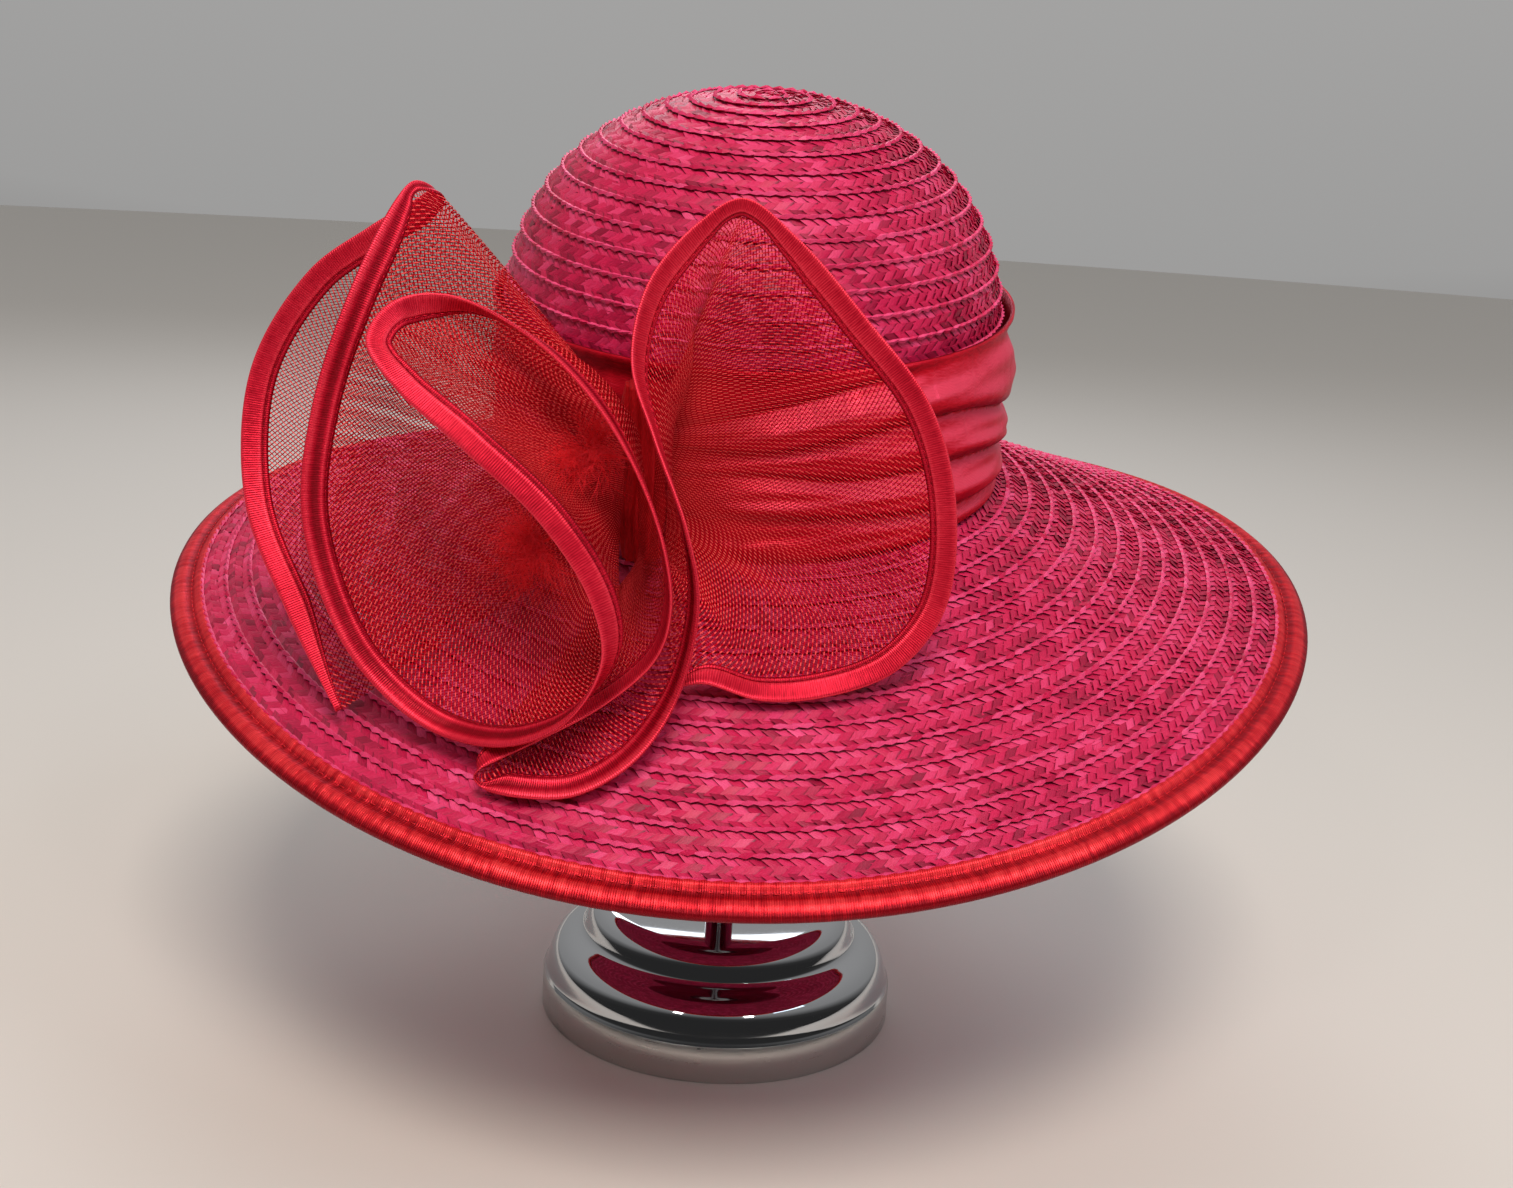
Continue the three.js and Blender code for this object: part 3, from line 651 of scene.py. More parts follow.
@dataclass(frozen=True)
class FeatherFinish:
    """Dyed down: saturated, soft, with light passing through the barbs."""

    name: str = "dyed_down"
    root: Colour = (0.85, 0.002, 0.008)
    tip: Colour = (1.0, 0.010, 0.020)
    tip_at: float = 0.7

    def material(self) -> Material:
        """Builds the material. It reads each barb's tone."""
        look = Shading(self.name)
        look.set(
            base_color=look.ramp(look.tone(), [(0.0, self.root), (self.tip_at, self.tip)]),
            roughness=0.7,
            specular_ior_level=0.2,
            sheen_weight=0.6,
            sheen_roughness=0.5,
            sheen_tint=(1.0, 0.06, 0.09),
            subsurface_weight=0.35,
            subsurface_scale=0.002,
        )
        return look.material


@dataclass(frozen=True)
class PolishedFinish:
    """Mirror plating with faint wipe marks."""

    name: str = "polished_plate"
    colour: Colour = (0.52, 0.53, 0.55)
    wipe_cells: float = 45.0
    smoothest: float = 0.02
    smear: float = 0.05

    def material(self) -> Material:
        """Builds the material."""
        look = Shading(self.name)
        wipe = look.noise(look.place(), self.wipe_cells, 4.0)
        rough = look.math("MULTIPLY_ADD", wipe, self.smear, self.smoothest)
        look.set(base_color=self.colour, metallic=1.0, roughness=rough)
        return look.material


@dataclass(frozen=True)
class BrushedFinish:
    """The foot's upright rim: plating brushed round its length, with small scratches."""

    name: str = "brushed_plate"
    colour: Colour = (0.60, 0.585, 0.57)
    streak_cells: Triple = (20.0, 20.0, 1500.0)
    streak_share: float = 0.6
    scratch_cells: Triple = (160.0, 160.0, 60.0)
    scratch_share: float = 0.4
    smoothest: float = 0.16
    smear: float = 0.3

    def material(self) -> Material:
        """Builds the material, with streaks that run round the rim."""
        look = Shading(self.name)
        streaks = look.stretched(self.streak_cells, 3.0)
        scratch = look.stretched(self.scratch_cells, 5.0, 0.7)
        both = look.total((streaks, self.streak_share), (scratch, self.scratch_share))
        rough = look.math("MULTIPLY_ADD", both, self.smear, self.smoothest)
        look.set(base_color=self.colour, metallic=1.0, roughness=rough)
        look.bump(both, strength=0.2, distance=0.0002)
        return look.material


@dataclass(frozen=True)
class HatSeat:
    """Where the hat sits on the stand: its own frame's place and tilt in the row frame."""

    origin: Triple = (0.0, 0.0023, 0.2226)
    tip_forward: float = math.radians(11)
    lean_side: float = math.radians(-1)

    def turn(self) -> np.ndarray:
        """Returns the rotation from the hat's frame to the row frame."""
        ca, sa = math.cos(self.tip_forward), math.sin(self.tip_forward)
        cb, sb = math.cos(self.lean_side), math.sin(self.lean_side)
        about_x = np.array([[1, 0, 0], [0, ca, -sa], [0, sa, ca]])
        about_y = np.array([[cb, 0, sb], [0, 1, 0], [-sb, 0, cb]])
        return about_y @ about_x

    def place(self, points: np.ndarray) -> np.ndarray:
        """Moves points from the hat's frame to the row frame."""
        return points @ self.turn().T + np.array(self.origin)

    def direct(self, vectors: np.ndarray) -> np.ndarray:
        """Turns directions from the hat's frame to the row frame."""
        return vectors @ self.turn().T


@dataclass(frozen=True)
class CrownShape:
    """The crown's straw: an oval wall that turns into a dome."""

    half_width: float = 0.0895
    half_depth: float = 0.0955
    shoulder: float = 0.0536
    top: float = 0.1346
    power: float = 2.16
    wall: float = 0.002
    steps: int = 600
    probe: float = 0.0006

    def section(self) -> tuple[np.ndarray, np.ndarray, np.ndarray]:
        """Returns arc length from the top, share of the full oval, and height, along the section."""
        a = (1 - np.arange(self.steps + 1) / self.steps) * (math.pi / 2)
        share = np.abs(np.cos(a)) ** (2 / self.power)
        height = self.shoulder + (self.top - self.shoulder) * np.abs(np.sin(a)) ** (2 / self.power)
        share = np.append(share, 1.0)
        height = np.append(height, -self.wall)
        run = np.hypot(np.diff(share * self.half_width), np.diff(height))
        return np.concatenate([[0], np.cumsum(run)]), share, height

    def length(self) -> float:
        """Returns the section's whole arc length, from the top to the foot of the wall."""
        return float(self.section()[0][-1])

    def at(self, distance: np.ndarray, turn: np.ndarray, offset: np.ndarray | float) -> np.ndarray:
        """Returns points of the crown in the hat's frame.

        Args:
            distance: Arc length from the top.
            turn: Angle round the crown.
            offset: How far outside the straw.

        Returns:
            The points, one for each of the broadcast inputs.
        """
        arc, share, height = self.section()
        after, before = distance + self.probe, distance - self.probe
        s = np.interp(distance, arc, share)
        z = np.interp(distance, arc, height)
        ds = np.interp(after, arc, share) - np.interp(before, arc, share)
        dz = np.interp(after, arc, height) - np.interp(before, arc, height)
        run = np.maximum(np.hypot(ds * self.half_width, dz), TINY)
        out_r, out_z = -dz / run, ds * self.half_width / run
        across = s * self.half_width + out_r * offset
        deep = across + (self.half_depth - self.half_width) * s
        parts = np.broadcast_arrays(across * np.cos(turn), deep * np.sin(turn), z + out_z * offset)
        return np.stack(parts, axis=-1)

    def girth(self, distance: float) -> float:
        """Returns the distance round the crown at an arc length from the top."""
        arc, share, _ = self.section()
        mean = (self.half_width + self.half_depth) / 2
        return float(TAU * mean * np.interp(distance, arc, share))

    def scale(self, height: np.ndarray) -> np.ndarray:
        """Returns the share of the full oval that is left at a height."""
        rise = np.clip((height - self.shoulder) / (self.top - self.shoulder), 0, 1)
        return (1 - rise**self.power) ** (1 / self.power)

    def beside(self, turn: np.ndarray, height: np.ndarray, out: np.ndarray) -> np.ndarray:
        """Returns points level with a height, a distance outside the straw."""
        s = self.scale(height)
        x = (self.half_width * s + out) * np.cos(turn)
        y = (self.half_depth * s + out) * np.sin(turn)
        return np.stack(np.broadcast_arrays(x, y, height), axis=-1)


@dataclass(frozen=True)
class BrimShape:
    """The brim's straw: a cone that droops more at the front and back than at the sides."""

    root_width: float = 0.0915
    root_depth: float = 0.0975
    half_width: float = 0.2119
    half_depth: float = 0.2119
    drop_side: float = 0.0393
    drop_extra: float = 0.0219
    sag: float = 0.0022
    wall: float = 0.002
    start: float = -0.0138

    def face(self, turn: np.ndarray, u: np.ndarray) -> np.ndarray:
        """Returns points of the upper face, u from the crown's foot (0) to the straw's edge (1)."""
        sin = np.sin(turn)
        drop = self.drop_side + self.drop_extra * sin * sin
        x = (self.root_width + (self.half_width - self.root_width) * u) * np.cos(turn)
        y = (self.root_depth + (self.half_depth - self.root_depth) * u) * sin
        z = -drop * u - self.sag * 4 * u * (1 - u)
        return np.stack(np.broadcast_arrays(x, y, z), axis=-1)

    def normal(self, turn: np.ndarray, u: np.ndarray) -> np.ndarray:
        """Returns the upper face's outward normals."""
        step = 0.004
        out = self.face(turn, u + step) - self.face(turn, u - step)
        along = self.face(turn + step, u) - self.face(turn - step, u)
        return unit(np.cross(out, along))

    def raised(self, turn: np.ndarray, u: np.ndarray, lift: np.ndarray | float) -> np.ndarray:
        """Returns points a distance above the upper face."""
        lift = np.asarray(lift)
        return self.face(turn, u) + self.normal(turn, u) * lift[..., None]

    def slope(self, turn: np.ndarray) -> np.ndarray:
        """Returns the distance from the crown's foot to the straw's edge."""
        edge, root = self.face(turn, np.ones_like(turn)), self.face(turn, np.zeros_like(turn))
        return np.linalg.norm(edge - root, axis=-1)


class NodeTree(Nodes):
    """A Geometry Nodes tree in the making, with named inputs."""

    def __init__(self, name: str) -> None:
        """Starts a tree that takes and gives geometry.

        Args:
            name: The tree's name.
        """
        super().__init__(bpy.data.node_groups.new(name, "GeometryNodeTree"))
        for way in ("INPUT", "OUTPUT"):
            self.tree.interface.new_socket("Geometry", in_out=way, socket_type="NodeSocketGeometry")
        self.start = self.tree.nodes.new("NodeGroupInput")
        self.end = self.tree.nodes.new("NodeGroupOutput")

    def input(self, name: str, kind: str) -> None:
        """Adds a named input."""
        self.tree.interface.new_socket(name, in_out="INPUT", socket_type=kind)

    def named(self, name: str, kind: str) -> Socket:
        """Returns a named attribute of the geometry."""
        return self.add("GeometryNodeInputNamedAttribute", {"Name": name}, data_type=kind)

    def given(self, name: str) -> Socket:
        """Returns the geometry of the object on a named input, in its own place."""
        made = self.node("GeometryNodeObjectInfo", transform_space="ORIGINAL")
        self.feed(made.inputs["Object"], self.start.outputs[name])
        return made.outputs["Geometry"]

    def between(self, low: str, high: str, shift: int, kind: str = "FLOAT") -> Socket:
        """Returns a random number for each element, between two named inputs of the tree.

        Args:
            low: The input with the least value.
            high: The input with the greatest value.
            shift: What is added to the Seed input, so that no two calls draw the same numbers.
            kind: The data type.

        Returns:
            The random values.
        """
        made = self.node("FunctionNodeRandomValue", data_type=kind)
        sockets = [s for s in made.inputs if s.enabled]
        for socket, source in zip(sockets, (low, high)):
            self.feed(socket, self.start.outputs[source])
        self.feed(made.inputs["Seed"], self.math("ADD", self.start.outputs["Seed"], shift))
        return next(s for s in made.outputs if s.enabled)


@dataclass
class Scatter:
    """Copies of one small piece on guide points, each turned to the point's own directions.

    The guide points carry two directions, along and out, a size, and a tone. The tree turns and scales a
    copy for each, varies them a little with a fixed seed, joins the backing shell, realizes the copies and
    sets the material.
    """

    name: str
    least_size: float = 0.94
    most_size: float = 1.06
    tone_spread: float = 0.3
    turn_spread: float = math.radians(4)
    seed: int = SEED

    def tree(self) -> bpy.types.NodeTree:
        """Builds the tree."""
        made = NodeTree(self.name)
        for name, kind in (
            ("Copy", "NodeSocketObject"),
            ("Backing", "NodeSocketObject"),
            ("Least Size", "NodeSocketFloat"),
            ("Most Size", "NodeSocketFloat"),
            ("Tone Down", "NodeSocketFloat"),
            ("Tone Up", "NodeSocketFloat"),
            ("Turn Down", "NodeSocketVector"),
            ("Turn Up", "NodeSocketVector"),
            ("Seed", "NodeSocketInt"),
            ("Material", "NodeSocketMaterial"),
        ):
            made.input(name, kind)
        start = made.start.outputs
        ways = {0: made.named("out", "FLOAT_VECTOR"), 1: made.named("along", "FLOAT_VECTOR")}
        faced = made.add("FunctionNodeAxesToRotation", ways, primary_axis="Z", secondary_axis="X")
        sway = made.between("Turn Down", "Turn Up", 1, "FLOAT_VECTOR")
        turned = made.add("FunctionNodeRotateRotation", {0: faced, 1: sway}, rotation_space="LOCAL")
        sizes = {0: made.named("size", "FLOAT_VECTOR"), "Scale": made.between("Least Size", "Most Size", 2)}
        size = made.add("ShaderNodeVectorMath", sizes, operation="SCALE")
        copies = made.add(
            "GeometryNodeInstanceOnPoints",
            {"Points": start["Geometry"], "Instance": made.given("Copy"), "Rotation": turned, "Scale": size},
        )
        tone = made.math("ADD", made.named("tone", "FLOAT"), made.between("Tone Down", "Tone Up", 3))
        toned = made.node("GeometryNodeStoreNamedAttribute", data_type="FLOAT", domain="INSTANCE")
        made.feed(toned.inputs["Geometry"], copies)
        made.feed(toned.inputs["Name"], "tone")
        made.feed(next(s for s in toned.inputs if s.name == "Value" and s.enabled), tone)
        joined = made.node("GeometryNodeJoinGeometry")
        for part in (toned.outputs[0], made.given("Backing")):
            made.feed(joined.inputs[0], part)
        solid = made.add("GeometryNodeRealizeInstances", {0: joined.outputs[0]})
        dressed = made.add("GeometryNodeSetMaterial", {"Geometry": solid, "Material": start["Material"]})
        made.feed(made.end.inputs[0], dressed)
        return made.tree

    def grow(
        self,
        guides: "Guides",
        copy: Piece,
        material: Material,
        backing: Piece | None = None,
    ) -> Piece:
        """Runs the tree and keeps its result as a plain mesh.

        Args:
            guides: The points and what they carry.
            copy: The small piece.
            material: The finish of the whole.
            backing: A shell to join in, or None.

        Returns:
            The finished piece. The copy and the backing are removed.
        """
        made = guides.build(self.name)
        modifier = made.modifiers.new(self.name, "NODES")
        modifier.node_group = self.tree()
        values = {
            "Copy": copy,
            "Backing": backing,
            "Least Size": self.least_size,
            "Most Size": self.most_size,
            "Tone Down": -self.tone_spread,
            "Tone Up": self.tone_spread,
            "Turn Down": (-self.turn_spread,) * 3,
            "Turn Up": (self.turn_spread,) * 3,
            "Seed": self.seed,
            "Material": material,
        }
        for item in modifier.node_group.interface.items_tree:
            if item.in_out == "INPUT" and values.get(item.name) is not None:
                modifier[item.identifier] = values[item.name]
        bpy.context.view_layer.update()
        depsgraph = bpy.context.evaluated_depsgraph_get()
        mesh = bpy.data.meshes.new_from_object(made.evaluated_get(depsgraph))
        made.modifiers.remove(modifier)
        made.data = mesh
        mesh.name = self.name
        if not mesh.materials:
            mesh.materials.append(material)
        for extra in ("along", "out", "size"):
            if extra in mesh.attributes:
                mesh.attributes.remove(mesh.attributes[extra])
        for spare in filter(None, (copy, backing)):
            bpy.data.objects.remove(spare)
        return made


@dataclass
class Guides:
    """Guide points for a Scatter, gathered batch by batch."""

    points: list = field(default_factory=list)
    along: list = field(default_factory=list)
    out: list = field(default_factory=list)
    size: list = field(default_factory=list)
    tone: list = field(default_factory=list)

    def add(
        self,
        points: np.ndarray,
        along: np.ndarray,
        out: np.ndarray,
        size: np.ndarray | Triple,
        tone: np.ndarray | float,
    ) -> None:
        """Adds a batch of points.

        Args:
            points: Where each copy goes.
            along: The direction that each copy's x axis takes.
            out: The direction that each copy's z axis takes.
            size: How large each copy is, along its own axes.
            tone: How light each copy is.
        """
        self.points.append(points)
        self.along.append(unit(along))
        self.out.append(unit(out))
        self.size.append(np.broadcast_to(np.asarray(size, float), points.shape))
        self.tone.append(np.broadcast_to(np.asarray(tone, float), points.shape[:1]))

    def build(self, name: str) -> Piece:
        """Makes an object of bare points that carry the attributes."""
        points = np.concatenate(self.points)
        mesh = bpy.data.meshes.new(name)
        mesh.from_pydata(points.tolist(), [], [])
        for key, batches in (("along", self.along), ("out", self.out), ("size", self.size)):
            layer = mesh.attributes.new(key, "FLOAT_VECTOR", "POINT")
            layer.data.foreach_set("vector", np.concatenate(batches).astype(np.float32).ravel())
        layer = mesh.attributes.new("tone", "FLOAT", "POINT")
        layer.data.foreach_set("value", np.concatenate(self.tone).astype(np.float32))
        made = bpy.data.objects.new(name, mesh)
        bpy.context.scene.collection.objects.link(made)
        return made


@dataclass(frozen=True)
class Plait:
    """One flat braid of straw, from its sewn side to its lip, and the small pieces that it is laid from.

    Sizes are metres. x runs along the row, y across it from the sewn side to the lip, z out of the straw.
    """

    width: float = 0.0091
    period: float = 0.0042
    slant: float = 0.95
    thick: float = 0.0010
    lip_width: float = 0.0020
    lip_height: float = 0.0010
    step: float = 0.0005
    dip: float = 0.0004
    bedding: float = 0.0002
    straw_share: float = 0.56
    scallop_share: float = 0.72
    lip_lean: float = 0.12

    def relief(self, share: np.ndarray | float) -> np.ndarray | float:
        """Returns how far a row stands off the straw's middle, from its sewn side (0) to its lip (1)."""
        return -self.step + 2 * self.step * share - self.dip * np.sin(math.pi * share)

    def bed(self, share: float) -> float:
        """Returns how far the shell under a row stands off, a little less than the row itself."""
        return float(self.relief(share)) - self.bedding

    def straw(self, name: str, share: float, mirrored: bool) -> Piece:
        """Makes one arm's straw: a flat slanting slip with one edge raised over the next slip.

        Args:
            name: The object's name.
            share: How much of the row's width it spans.
            mirrored: Whether it slants the other way.

        Returns:
            A closed little body with its own UV map, u across the straw and v along it.
        """
        half = self.period * self.straw_share
        length = self.width * share
        side = -1 if mirrored else 1
        points, uv = [], []
        for end in (-1, 1):
            for x, z, u in ((-half, 0.55, 0.0), (half, 0.12, 1.0), (0.0, -0.7, 0.5)):
                points.append((end * length * self.slant / 2 + x, side * end * length / 2, self.thick * z))
                uv.append((u, end * length / MM / 2))
        faces = [[0, 1, 4, 3], [1, 2, 5, 4], [2, 0, 3, 5], [0, 2, 1], [3, 4, 5]]
        return self._body(name, points, faces, uv)

    def scallop(self, name: str) -> Piece:
        """Makes one scallop of the lip, where a straw turns back at the braid's edge."""
        half = self.period * self.scallop_share
        points, uv = [], []
        for x, wide, lift in ((-1.0, 0.2, 0.0), (-0.1, 1.0, 0.35), (1.0, 0.2, 0.1)):
            for y, z, u in ((-0.75, 0.1, 0.3), (-0.1, 1.0, 0.4), (0.3, 0.2, 0.6), (0.0, -0.9, 1.0)):
                across = (y * wide + self.lip_lean * x) * self.lip_width
                points.append((x * half, across, self.lip_height * (z * wide + lift)))
                uv.append((u, x * half / MM))
        faces = grid_faces(3, 4, closed_columns=True).tolist() + [[0, 1, 2, 3], [11, 10, 9, 8]]
        return self._body(name, points, faces, uv)

    @staticmethod
    def _body(name: str, points: list, faces: list, uv: list) -> Piece:
        """Builds a small closed body with its faces outwards and its facets flat."""
        return Shell(np.array(points), faces, np.array(uv)).flipped_outwards().build(name, smooth=False)


@dataclass
class PlaitRow:
    """Where one row of plait runs: a function from (turn, share across) to points and normals."""

    surface: Callable[[np.ndarray, np.ndarray], tuple[np.ndarray, np.ndarray]]
    girth: float
    width: float
    phase: float


@dataclass(frozen=True)
class PlaitLine:
    """One line of straws or scallops along a row of plait."""

    name: str
    share: float
    length: float
    mirrored: bool
    tone: float
    lift: float
    weave: float = 0.09
    shift: float = 0.0


class StrawRows:
    """Lays the lines of straws and the lip along rows, and grows them together with their backing shell."""

    lines = (
        PlaitLine("sewn_side", 0.27, 0.44, True, 0.56, 0.00005),
        PlaitLine("middle", 0.55, 0.42, False, 0.42, 0.00020, shift=0.3),
        PlaitLine("lip_side", 0.79, 0.26, True, 0.28, 0.00005, shift=0.6),
    )
    lip = PlaitLine("lip", 0.95, 0.0, False, 0.72, 0.00015, weave=0.0, shift=0.6)
    uneven_tone = 0.10
    dark_drop = 0.22
    dark_share = 0.2
    fewest = 8
    probe_turn = 0.25
    probe_across = 0.05

    def __init__(self, plait: Plait, random: np.random.Generator) -> None:
        """Keeps the plait's sizes and the source of the small differences between straws."""
        self.plait = plait
        self.random = random

    def lay(self, row: PlaitRow, line: PlaitLine, guides: Guides, darker: float = 0.0) -> None:
        """Adds one line of straws or scallops along a row.

        Args:
            row: The row.
            line: The line's place across the row, and its tone and weave.
            guides: The guide points to add to.
            darker: How much darker than usual the line is, as painted shade.
        """
        count = max(int(round(row.girth / self.plait.period)), self.fewest)
        turn = (np.arange(count) + row.phase + line.shift) / count * TAU
        step = self.probe_turn * TAU / count
        across = np.full(count, line.share)
        here, normal = row.surface(turn, across)
        ahead, _ = row.surface(turn + step, across)
        before, _ = row.surface(turn - step, across)
        side, _ = row.surface(turn, across + self.probe_across)
        cross = unit(side - here)
        odd = np.where(np.arange(count) % 2 == 0, 1.0, -1.0)[:, None]
        out = unit(normal) + cross * line.weave * odd
        stretch = row.girth / count / self.plait.period
        size = (stretch, row.width / self.plait.width, 1.0)
        spread = self.random.normal(0, self.uneven_tone, count)
        spread -= self.dark_drop * (self.random.random(count) < self.dark_share)
        # darker lowers the tone as painted shade
        guides.add(here + unit(normal) * line.lift, ahead - before, out, size, line.tone - darker + spread)

    def grow(
        self,
        name: str,
        rows: list[PlaitRow],
        lines: tuple[PlaitLine, ...],
        material: Material,
        backing: Piece | None = None,
        darker: float = 0.0,
    ) -> Piece:
        """Grows every line of straws along the rows, joined with the backing shell.

        Args:
            name: The finished piece's name.
            rows: The rows of plait.
            lines: The lines that each row has.
            material: The straw's finish.
            backing: The shell under the plait, or None.
            darker: How much darker than usual the straws are, as painted shade.

        Returns:
            The finished piece.
        """
        parts = []
        for line in lines:
            guides = Guides()
            for row in rows:
                self.lay(row, line, guides, darker)
            if line.length > 0:
                copy = self.plait.straw(f"straw_{line.name}", line.length, line.mirrored)
            else:
                copy = self.plait.scallop("scallop")
            scatter = Scatter(f"{name}_{line.name}", tone_spread=0.12)
            parts.append(scatter.grow(guides, copy, material, backing))
            backing = None
        return merge(name, parts)


def shell_tone(piece: Piece, tone: np.ndarray | float) -> Piece:
    """Gives the points of a shell one tone, or a tone each."""
    layer = piece.data.attributes.new("tone", "FLOAT", "POINT")
    layer.data.foreach_set("value", np.full(len(piece.data.vertices), tone, np.float32))
    return piece


def merge(name: str, pieces: list[Piece]) -> Piece:
    """Joins finished pieces into one.

    Args:
        name: The joined piece's name.
        pieces: The pieces, the first of which takes the others in.

    Returns:
        The joined piece.
    """
    bpy.ops.object.select_all(action="DESELECT")
    for piece in pieces:
        piece.select_set(True)
    bpy.context.view_layer.objects.active = pieces[0]
    bpy.ops.object.join()
    pieces[0].name = name
    pieces[0].data.name = name
    return pieces[0]


def dress(piece: Piece, nodes: tuple[str, ...], material: Material | None = None) -> None:
    """Gives a piece its body, hides the CAD nodes that it stands for, and logs it.

    Args:
        piece: The finished piece.
        nodes: The CAD nodes that it replaces, if any.
        material: Its finish, or None where it already has it.
    """
    if material is not None:
        piece.data.materials.clear()
        piece.data.materials.append(material)
    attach(piece, BODY)
    if nodes:
        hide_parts(*nodes)
    LOG.info("%s: %d faces", piece.name, len(piece.data.polygons))


# shares across a row of plait where the shell under it has a point, and where a row's girth is measured
ROW_MARKS = (0.04, 0.5, 0.97)
GIRTH_SHARE = 0.6


@dataclass
class Crown:
    """The crown: rows of plait over a thin shell. The rows under the band are plain."""

    seat: HatSeat
    shape: CrownShape
    plait: Plait
    random: np.random.Generator
    pitch: float = 0.0084
    sides: int = 180
    band_top: float = 0.060
    hem: float = 0.005
    inner_rings: int = 26
    margin: float = 0.0008
    crown_drop: float = 0.0004

    def backing(self) -> Piece:
        """Builds the closed shell under the plait, with its stepped rows and a smooth inside."""
        length = self.shape.length()
        step = self.plait.step
        turn = circle(self.sides)
        rings, marks = [], []
        for row in range(self.row_count()):
            for share in ROW_MARKS:
                distance = (row + share) * self.pitch
                rings.append(self.shape.at(distance, turn, self.plait.bed(share)))
                marks.append(distance)
        for distance, offset in ((length - self.hem, step), (length, -step)):
            rings.append(self.shape.at(distance, turn, offset))
            marks.append(distance)
        for distance in np.linspace(length, self.pitch / 2, self.inner_rings):
            rings.append(self.shape.at(distance, turn, -self.shape.wall))
            marks.append(length + distance)
        rings = self.seat.place(np.stack(rings))
        tops = (self.shape.top - self.crown_drop, self.shape.top - self.shape.wall)
        poles = self.seat.place(np.array([(0, 0, top) for top in tops]))
        uv = uv_grid(np.full(rings.shape[:2], SHELL_U), np.array(marks)[:, None] / MM).reshape(-1, 2)
        shell = pole_loft(rings, poles, np.concatenate([uv, [(SHELL_U, 0), (SHELL_U, 0)]]))
        # the shell is painted dark, as shade in the creases between the rows
        return shell_tone(shell.build("crown_backing"), PAINTED_CREASE_SHADE)

    def row_count(self) -> int:
        """Returns how many rows show above the band."""
        arc, _, height = self.shape.section()
        return int(float(np.interp(-self.band_top, -height, arc)) / self.pitch) + 1

    def row(self, index: int) -> PlaitRow:
        """Returns one row of plait, counted from the top."""
        first = index * self.pitch

        def surface(turn: np.ndarray, share: np.ndarray) -> tuple[np.ndarray, np.ndarray]:
            """Points and normals of the row."""
            distance = np.clip(first + share * self.pitch, self.margin, self.shape.length() - self.margin)
            relief = self.plait.relief(share)
            here = self.shape.at(distance, turn, relief)
            above = self.shape.at(distance, turn, relief + MM)
            return self.seat.place(here), self.seat.direct(above - here)

        girth = self.shape.girth(first + GIRTH_SHARE * self.pitch)
        return PlaitRow(surface, girth, self.pitch, float(self.random.random()))

    def build(self, material: Material) -> None:
        """Grows the crown's plait and its shell into one piece."""
        straw = StrawRows(self.plait, self.random)
        rows = [self.row(i) for i in range(self.row_count())]
        made = straw.grow("crown_straw", rows, (*StrawRows.lines, StrawRows.lip), material, self.backing())
        dress(made, ("crown",))


@dataclass
class Brim:
    """The brim: rows of plait on both faces of a thin shell, up to the satin binding."""

    seat: HatSeat
    shape: BrimShape
    plait: Plait
    random: np.random.Generator
    rows: int = 13
    binding: float = 0.011
    sides: int = 240
    probes: int = 181
    under_shares: tuple[float, ...] = (1.0, 0.75, 0.5, 0.25, 0.0)
    face_length: float = 120.0

    def share_of(self, turn: np.ndarray, row: float | np.ndarray) -> np.ndarray:
        """Returns the share from the crown's foot to the edge, at a row number with fractions."""
        last = 1 - self.binding / self.shape.slope(turn)
        return self.shape.start + (last - self.shape.start) * row / self.rows

    def backing(self) -> Piece:
        """Builds the closed shell between the two faces of plait."""
        turn = circle(self.sides)
        outline, marks = [], []
        for row in range(self.rows):
            for share in ROW_MARKS:
                lift = np.full_like(turn, self.plait.bed(share))
                outline.append(self.shape.raised(turn, self.share_of(turn, row + share), lift))
                marks.append((row + share) * self.plait.width / MM)
        underside = [(1.0, -self.plait.step), *((share, -self.shape.wall) for share in self.under_shares)]
        for u, lift in underside:
            outline.append(self.shape.raised(turn, np.full_like(turn, u), np.full_like(turn, lift)))
            marks.append(self.face_length * (2 - u))
        rings = self.seat.place(np.stack(outline, axis=1))
        shell = ring_loft(rings, uv_grid(np.full(rings.shape[:2], SHELL_U), np.array(marks)[None, :]))
        # the shell is painted dark, as shade in the creases between the rows
        return shell_tone(shell.build("brim_backing"), PAINTED_CREASE_SHADE)

    def row(self, index: int, facing: Facing) -> PlaitRow:
        """Returns one row of plait on either face, counted from the crown."""

        def surface(turn: np.ndarray, share: np.ndarray) -> tuple[np.ndarray, np.ndarray]:
            """Points and normals of the row."""
            u = self.share_of(turn, index + share)
            if facing is Facing.OUTSIDE:
                lift = self.plait.relief(share)
            else:
                lift = np.full_like(share, -self.shape.wall + self.plait.bedding)
            here = self.shape.raised(turn, u, lift)
            return self.seat.place(here), self.seat.direct(self.shape.normal(turn, u)) * facing.value

        probe = np.linspace(0, TAU, self.probes)
        points, _ = surface(probe, np.full_like(probe, GIRTH_SHARE))
        girth = float(np.linalg.norm(np.diff(points, axis=0), axis=1).sum())
        return PlaitRow(surface, girth, self.plait.width, float(self.random.random()))

    def build(self, material: Material) -> None:
        """Grows the upper and the under face of the brim."""
        straw = StrawRows(self.plait, self.random)
        upper = [self.row(i, Facing.OUTSIDE) for i in range(self.rows)]
        under = [self.row(i, Facing.UNDERSIDE) for i in range(self.rows)]
        made = straw.grow("brim_straw", upper, (*StrawRows.lines, StrawRows.lip), material, self.backing())
        dress(made, ("brim",))
        # the straws under the brim are painted darker, as shade under the brim
        plain = straw.grow("brim_straw_under", under, StrawRows.lines[:2], material, darker=0.1)
        dress(plain, ())


